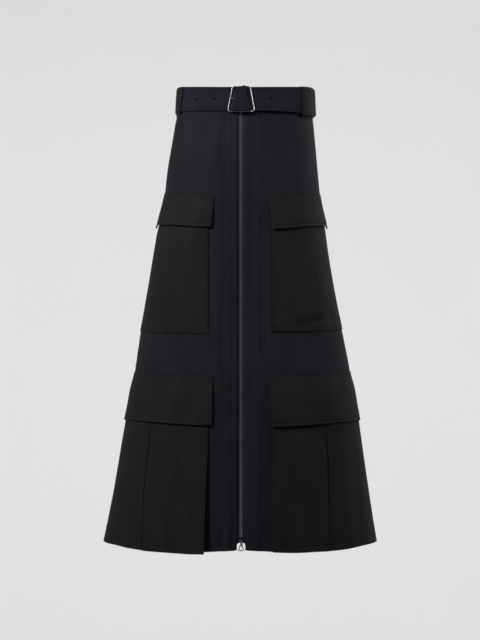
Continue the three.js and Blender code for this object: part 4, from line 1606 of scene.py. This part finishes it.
def belt_lines():
    """The strap's stitched rows, on the outside of the cloth that shows."""
    route = strap_route()
    lines = []
    around = waist_arc()[-1]
    tip_start = around + BUCKLE_FOOT_HALF
    for row in (*BELT_ROWS, *(STRAP_HEIGHT - row for row in BELT_ROWS)):
        for shown in (
            [r for r in route if r[0] > 30 and r[0] < around - 15 and r[1] < 2],
            [r for r in route if r[0] > around - 18],
        ):
            line = []
            for i, (along, out) in enumerate(shown):
                before, after = shown[max(i - 1, 0)], shown[min(i + 1, len(shown) - 1)]
                way = Vector((after[0] - before[0], after[1] - before[1])).normalized()
                from_buckle = along - around if along > around / 2 else along
                z = strap_height_at(along, from_buckle, row, tip_start, route[-1][0], along > around / 2)
                half = STRAP_CLOTH / 2
                spot = along + lean_at(from_buckle, STRAP_TOP - row) - way.y * half
                line.append(waist_point(spot, z, out + way.x * half))
            lines.append(line)
    return lines


WIRE_SIDES = 6


def wire(name, points, radius, closed=False):
    """A round wire along points in millimetres, as a mesh with closed ends."""
    deselect()
    bpy.ops.curve.primitive_bezier_curve_add()
    bent = bpy.context.object
    bent.data.splines.clear()
    spline = bent.data.splines.new("POLY")
    spline.points.add(len(points) - 1)
    for spot, point in zip(spline.points, points):
        spot.co = (*(point * MM), 1)
    spline.use_cyclic_u = closed
    bent.data.dimensions = "3D"
    bent.data.bevel_depth = radius * MM
    bent.data.bevel_resolution = WIRE_SIDES
    bent.data.use_fill_caps = not closed
    bpy.ops.object.convert(target="MESH")
    piece = bpy.context.object
    rename(piece, name)
    bpy.ops.object.mode_set(mode="EDIT")
    bpy.ops.mesh.select_all(action="SELECT")
    bpy.ops.mesh.remove_doubles(threshold=0.00001)
    bpy.ops.mesh.normals_make_consistent(inside=False)
    bpy.ops.object.mode_set(mode="OBJECT")
    settle(piece)
    soften(piece, 50)
    return piece


def buckle_point(along, z, lift=0):
    return waist_point(along, z, BUCKLE_OUT + BUCKLE_TILT * along + lift)


PRONG_TIP = -(BUCKLE_TOP_HALF + BUCKLE_FOOT_HALF) / 2
PRONG_LIFT = WIRE_RADIUS + SEAM_GAP + PRONG_RADIUS


def prong_route():
    """The prong's curl round the middle bar, its shank, and its tip over the left-hand bar."""
    route = []
    for degrees in range(-110, 91, 20):
        angle = math.radians(degrees)
        out = BUCKLE_OUT + PRONG_CURL * math.sin(angle)
        route.append(waist_point(PRONG_CURL * math.cos(angle), PRONG_Z, out))
    route += [buckle_point(PRONG_TIP * share, PRONG_Z, PRONG_LIFT) for share in (0.3, 0.6, 0.9, 1)]
    return route + [buckle_point(PRONG_TIP - 1.6, PRONG_Z, PRONG_LIFT - 0.2)]


def cut_away(piece, cutters):
    """Takes the cutters' shapes out of a piece and removes the cutters."""
    for cutter in cutters:
        finish_with(piece, ("BOOLEAN", {"operation": "DIFFERENCE", "solver": "EXACT", "object": cutter}))
        bpy.data.objects.remove(cutter)


class SKIRT_OT_belt(bpy.types.Operator):
    """Makes the belt's strap with its punched holes and stitched edges"""

    bl_idname = "skirt.belt"
    bl_label = "Make Belt"

    def execute(self, context):
        points = strap_grid()
        strap = sheet_of("belt_strap_cloth", points, STRAP_CLOTH, "navy_twill", offset=0)
        cutters, rims = [], []
        for i, along in enumerate(HOLES):
            low = STRAP_ON_STRAP - STRAP_CLOTH / 2 - LAY_GAP / 2 if along > 0 else 0
            face = STRAP_ON_STRAP if along > 0 else STRAP_ON_BAND
            ends = [waist_point(along, STRAP_MIDDLE, out) for out in (low, 16)]
            cutters.append(wire(f"punch_{i}", ends, HOLE_RADIUS))
            if abs(along) > 20:
                rims.append(self.rim(along, face + STRAP_CLOTH / 2))
        channel = [buckle_point(along, PRONG_Z, PRONG_LIFT) for along in (PRONG_TIP - 3, PRONG_CHANNEL_END)]
        cutters.append(wire("prong_channel", channel, PRONG_RADIUS + 0.35))
        cut_away(strap, cutters)
        put_on(strap, "belt_strap")
        sizes = stitch_sizes()
        sew("belt_topstitching", belt_lines(), "navy_thread", *sizes)
        sew("belt_hole_rims", rims, "navy_thread", 1.3, 0.1, sizes[2])
        return {"FINISHED"}

    def rim(self, along, out):
        """A ring of thread round a punched hole."""
        ring = []
        for i in range(17):
            angle = math.radians(22.5 * i)
            reach = HOLE_RADIUS + 0.35
            spot = along + reach * math.cos(angle)
            ring.append(waist_point(spot, STRAP_MIDDLE + reach * math.sin(angle), out))
        return ring


def curved_vectors(points, steps):
    return [Vector(p) for p in curved_through([tuple(p) for p in points], steps)]


class SKIRT_OT_buckle(bpy.types.Operator):
    """Bends the wire buckle and its prong"""

    bl_idname = "skirt.buckle"
    bl_label = "Bend Buckle"

    def execute(self, context):
        corners = (
            Vector((-BUCKLE_TOP_HALF, BUCKLE_TOP)),
            Vector((BUCKLE_TOP_HALF, BUCKLE_TOP)),
            Vector((BUCKLE_FOOT_HALF, BUCKLE_FOOT)),
            Vector((-BUCKLE_FOOT_HALF, BUCKLE_FOOT)),
        )
        outline = []
        for i, corner in enumerate(corners):
            before, after = corners[i - 1], corners[(i + 1) % 4]
            start = corner + (before - corner).normalized() * BUCKLE_CORNER
            end = corner + (after - corner).normalized() * BUCKLE_CORNER
            for step in range(9):
                t = step / 8
                outline.append(start * (1 - t) ** 2 + corner * 2 * t * (1 - t) + end * t * t)
            following = after + (corner - after).normalized() * BUCKLE_CORNER
            outline += [end.lerp(following, share) for share in (0.2, 0.4, 0.6, 0.8)]
        ring = [buckle_point(spot.x, spot.y) for spot in outline]
        frame_wire = wire("buckle_frame_wire", ring, WIRE_RADIUS * 0.85, closed=True)
        upright = [buckle_point(0, mix(BUCKLE_TOP, BUCKLE_FOOT, i / 6)) for i in range(7)]
        bar = wire("buckle_middle_bar", upright, WIRE_RADIUS * 0.8)
        finish_with(frame_wire, ("BOOLEAN", {"operation": "UNION", "solver": "EXACT", "object": bar}))
        bpy.data.objects.remove(bar)
        soften(frame_wire, 50)
        prong = wire("buckle_prong_wire", curved_vectors(prong_route(), 4), PRONG_RADIUS)
        for piece, node in ((frame_wire, "buckle_frame"), (prong, "buckle_prong")):
            dress(piece, "buckle_metal")
            put_on(piece, node)
        return {"FINISHED"}


class SKIRT_OT_tunnels(bpy.types.Operator):
    """Sews the two side tunnels that the belt runs through"""

    bl_idname = "skirt.tunnels"
    bl_label = "Sew Tunnels"

    def execute(self, context):
        lines = []
        fronts = {"left": TUNNEL_FRONT_LEFT, "right": TUNNEL_FRONT_RIGHT}
        for side, back_turn, strap, turn_in, foot, shoulder in TUNNELS:
            half = TUNNEL_CLOTH / 2
            face = strap + STRAP_CLOTH / 2 + LAY_GAP + half
            sewn = LAY_GAP + half
            profile = curved_through(
                (
                    (sewn, -0.7),
                    (face - shoulder, -1.3),
                    (face - 0.34 * shoulder, -3.6),
                    (face - 0.1 * shoulder, -7),
                    (face, -12),
                    (face + 0.3, -20),
                    (face + 0.3, -38),
                    (face, turn_in),
                    (sewn + 0.4, turn_in - 3.2),
                    (sewn, turn_in - 4.4),
                    (sewn, foot),
                ),
                3,
            )
            start, end = between_lines(side, front_line(fronts[side]), back_line(side, back_turn))
            near = edge_stations((2.2, 5.2))
            points = []
            for out, z in profile:
                width = (end(z) - start(z)) * speed_at((start(z) + end(z)) / 2, z)
                row = []
                for distance in spread_positions(width, near, near, 5):
                    turn = mix(start(z), end(z), distance / width)
                    x, y, out_x, out_y, _ = section_point(turn, min(z, 0))
                    row.append(Vector((x + out_x * out, y + out_y * out, z)))
                points.append(row)
            piece = sheet_of(f"belt_tunnel_{side}_cloth", points, TUNNEL_CLOTH, "black_twill", offset=0)
            put_on(piece, f"belt_tunnel_{side}")
            for column in (3, 7, -4, -8):
                rows = [
                    row[column] + outward(row[column]) * half
                    for row, (out, z) in zip(points, profile)
                    if z < -2
                ]
                lines.append(rows)
        sew("tunnel_topstitching", lines, "black_thread", *stitch_sizes())
        return {"FINISHED"}


def zip_line(x):
    return front_line(((0, x), (HEM_Z, x)))


class SKIRT_OT_zip(bpy.types.Operator):
    """Lays in the zip: tapes, teeth, slider and pull"""

    bl_idname = "skirt.zip"
    bl_label = "Lay In Zip"

    def execute(self, context):
        for name, first, last in (
            ("zip_tape_left", -TAPE_OUTER_X, -TAPE_INNER_X),
            ("zip_tape_right", TAPE_INNER_X, TAPE_OUTER_X),
        ):
            wall = Wall(
                name,
                zip_line(first),
                zip_line(last),
                lambda share: TAPE_TOP,
                lambda share, first=first, last=last: self.tape_foot(abs(mix(first, last, share))),
                TAPE_CLOTH,
                out=lambda across, down: TAPE_OUT,
                step=8,
            )
            piece, _ = sewn_wall(wall, "zip_tape")
            takes_place_of(piece, name)
        self.teeth()
        self.cast("zip_slider", SKIRT, 0.45, "slider_metal")
        self.cast("zip_pull", PULL, 0.5, "pull_metal")
        return {"FINISHED"}

    def cast(self, node, body, rounding, finish):
        """A casting on its CAD node's shape, with its edges rounded as the mould and tumbling leave them."""
        pick(frame["nodes"][node])
        bpy.ops.object.duplicate()
        piece = bpy.context.object
        rename(piece, node + "_cast")
        bpy.ops.object.parent_clear(type="CLEAR_KEEP_TRANSFORM")
        bpy.ops.object.mode_set(mode="EDIT")
        bpy.ops.mesh.select_all(action="SELECT")
        bpy.ops.mesh.remove_doubles(threshold=0.00001)
        bpy.ops.mesh.dissolve_limited(angle_limit=math.radians(3))
        bpy.ops.object.mode_set(mode="OBJECT")
        settle(piece)
        finish_with(piece, rounded(rounding, 3, 28))
        soften(piece, 50)
        dress(piece, finish)
        put_on(piece, node, body)

    def tape_foot(self, x):
        """The tapes end in round corners beside the slider."""
        reach = min(max((x - TAPE_CORNER_X) / TAPE_CORNER, 0), 1)
        return TAPE_BOTTOM - TAPE_CORNER * (1 - math.sqrt(1 - reach * reach))

    def tooth(self):
        """One tooth, modelled once: a block with a rounded head, in millimetres."""
        deselect()
        bpy.ops.mesh.primitive_cube_add(size=1)
        block = bpy.context.object
        block.scale = TOOTH_SIZES
        settle(block)
        finish_with(block, ("BEVEL", {"width": TOOTH_BEVEL, "segments": 1, "limit_method": "NONE"}))
        return taken_apart(block)

    def teeth(self):
        """Teeth from both tapes in turn, down the front."""
        corners, faces = self.tooth()
        pitch = cloth_settings().tooth_pitch / MM / 2
        points, sides = [], []
        z = TAPE_TOP - FIRST_TOOTH_DROP
        way = 1
        while z > CHAIN_BOTTOM:
            front = section_point(0, z)[1]
            reach = CHAIN_OUT - TOOTH_SET_BACK + drape_at(0, z)
            middle = Vector((way * (CHAIN_HALF - TOOTH_INSET), front - reach, z))
            base = len(points)
            points += [(corner + middle) * MM for corner in corners]
            sides += [[base + i for i in face] for face in faces]
            z -= pitch
            way = -way
        piece = piece_from("zip_teeth", points, sides, "zip_metal", 30)
        put_on(piece, "zip_chain")


# Studio lights in metres and watts: name, place, aim, width, height, power
STUDIO_LIGHTS = (
    ("key_light", (-1.24, -1.16, 0.75), (0, -0.05, -0.3), 0.45, 0.45, 26.5),
    ("second_light", (1.69, -0.18, 0.6), (0, -0.05, -0.3), 0.45, 0.45, 14.2),
    ("glint_light", (-0.13, -1.25, 0.75), (0, -0.1, -0.05), 0.26, 0.26, 2.4),
    ("rim_light", (1.4, 1.0, 0.5), (0.12, 0, -0.1), 0.4, 0.4, 6),
    ("paper_light_left", (-3.6, 2.5, -0.5), (0.4, 8.5, -0.4), 1.0, 7.0, 246),
    ("paper_light_right", (3.6, 2.5, -0.5), (-0.4, 8.5, -0.4), 1.0, 7.0, 246),
)
# Brightness of the studio's air in front of the skirt and behind it, and its share low down and high up
AIR_FRONT = 0.015
AIR_BEHIND = 0.3
AIR_LOW = 0.4
AIR_HIGH = 1.3
AIR_SEEN = 0.72
# The camera stands this far beside the zip's plane and aims at this height
CAMERA_X = -0.0021
CAMERA_AIM_Z = -0.4594


class SKIRT_OT_stage(bpy.types.Operator):
    """Sets up the paper, the lights and the camera"""

    bl_idname = "skirt.stage"
    bl_label = "Set Stage"

    def execute(self, context):
        settings = context.scene.skirt_stage
        painted_paper(FINISHES["studio_paper"], settings.paper)
        self.paper_sweep()
        self.lights(context)
        self.camera(context, settings)
        context.scene.view_settings.view_transform = "Standard"
        return {"FINISHED"}

    def paper_sweep(self):
        """A wide sheet of paper that runs along the floor and up far behind the skirt."""
        floor, near, behind, bend, top, half_width = -3.2, -4, 8.5, 0.6, 4.5, 9
        profile = [(near, floor), (behind - bend, floor)]
        for step in range(1, 12):
            angle = math.pi / 2 * step / 12
            profile.append((behind - bend + bend * math.sin(angle), floor + bend - bend * math.cos(angle)))
        profile += [(behind, floor + bend), (behind, top)]
        last = len(profile) - 1
        deselect()
        bpy.ops.mesh.primitive_grid_add(x_subdivisions=2, y_subdivisions=last, size=2)
        sweep = bpy.context.object
        sweep.name = "paper_sweep"
        for vertex in sweep.data.vertices:
            y, z = profile[round((vertex.co.y + 1) / 2 * last)]
            vertex.co = (vertex.co.x * half_width, y, z)
        soften(sweep, 60)
        dress(sweep, "studio_paper")

    def lights(self, context):
        """Soft lights from above on both sides, a glint, a rim from behind, and two on the paper."""
        for name, place, target, width, height, power in STUDIO_LIGHTS:
            deselect()
            bpy.ops.object.light_add(type="AREA", location=place)
            light = bpy.context.object
            light.name = name
            light.data.shape = "RECTANGLE"
            light.data.size = width
            light.data.size_y = height
            light.data.energy = power
            light.visible_camera = False
            way = Vector(target) - Vector(place)
            light.rotation_euler = way.to_track_quat("-Z", "Y").to_euler()
        world = bpy.data.worlds.new("studio_air")
        world.use_nodes = True
        tree = world.node_tree
        way = add_node(tree, "ShaderNodeTexCoord")
        parts = add_node(tree, "ShaderNodeSeparateXYZ", links={"Vector": (way, "Generated")})
        strength = add_node(
            tree,
            "ShaderNodeMapRange",
            inputs={"From Min": -1, "From Max": 1, "To Min": AIR_FRONT, "To Max": AIR_BEHIND},
            links={"Value": (parts, "Y")},
        )
        height = add_node(
            tree,
            "ShaderNodeMapRange",
            inputs={"From Min": -0.6, "From Max": 0.6, "To Min": AIR_LOW, "To Max": AIR_HIGH},
            links={"Value": (parts, "Z")},
        )
        both = add_node(
            tree,
            "ShaderNodeMath",
            {"operation": "MULTIPLY"},
            links={0: (strength, "Result"), 1: (height, "Result")},
        )
        # Seen itself, the studio's far side is as pale as the paper
        seen = add_node(tree, "ShaderNodeLightPath")
        shown = add_node(
            tree,
            "ShaderNodeMix",
            {"data_type": "FLOAT"},
            {3: AIR_SEEN},
            {0: (seen, "Is Camera Ray"), 2: (both, "Value")},
        )
        air = tree.nodes["Background"]
        air.inputs["Color"].default_value = (1, 1, 1, 1)
        tree.links.new(shown.outputs[0], air.inputs["Strength"])
        context.scene.world = world

    def camera(self, context, settings):
        """Level with the upper skirt, tipped down a little, as the photograph was framed."""
        deselect()
        bpy.ops.object.camera_add(location=(CAMERA_X, -settings.camera_distance, settings.camera_height))
        camera = bpy.context.object
        camera.name = "photo_camera"
        camera.data.lens = settings.lens
        camera.data.sensor_width = 36
        camera.data.clip_end = 60
        target = Vector((CAMERA_X, 0, CAMERA_AIM_Z))
        camera.rotation_euler = (target - camera.location).to_track_quat("-Z", "Y").to_euler()
        context.scene.camera = camera


class SKIRT_PT_panel(bpy.types.Panel):
    """Buttons for each step of making the skirt."""

    bl_idname = "SKIRT_PT_panel"
    bl_label = "Cargo Utility Skirt"
    bl_space_type = "VIEW_3D"
    bl_region_type = "UI"
    bl_category = "Skirt"

    def draw(self, context):
        column = self.layout.column(align=True)
        for step in STEPS:
            column.operator(step.bl_idname)
        for name in ("navy_light", "navy_dark", "black_light", "black_dark", "stitch_length", "stitch_gap"):
            column.prop(context.scene.skirt_cloth, name)
        for name in ("camera_distance", "camera_height", "lens"):
            column.prop(context.scene.skirt_stage, name)


STEPS = (
    SKIRT_OT_materials,
    SKIRT_OT_panels,
    SKIRT_OT_pockets,
    SKIRT_OT_flaps,
    SKIRT_OT_belt,
    SKIRT_OT_buckle,
    SKIRT_OT_tunnels,
    SKIRT_OT_zip,
    SKIRT_OT_stage,
)
CLASSES = (SkirtCloth, SkirtStage, *STEPS, SKIRT_PT_panel)


def register():
    for kind in CLASSES:
        bpy.utils.register_class(kind)
    bpy.types.Scene.skirt_cloth = PointerProperty(type=SkirtCloth)
    bpy.types.Scene.skirt_stage = PointerProperty(type=SkirtStage)


def unregister():
    del bpy.types.Scene.skirt_stage
    del bpy.types.Scene.skirt_cloth
    for kind in reversed(CLASSES):
        bpy.utils.unregister_class(kind)


def main():
    register()
    for step in STEPS:
        group, name = step.bl_idname.split(".")
        getattr(getattr(bpy.ops, group), name)()


if __name__ == "__main__":
    main()
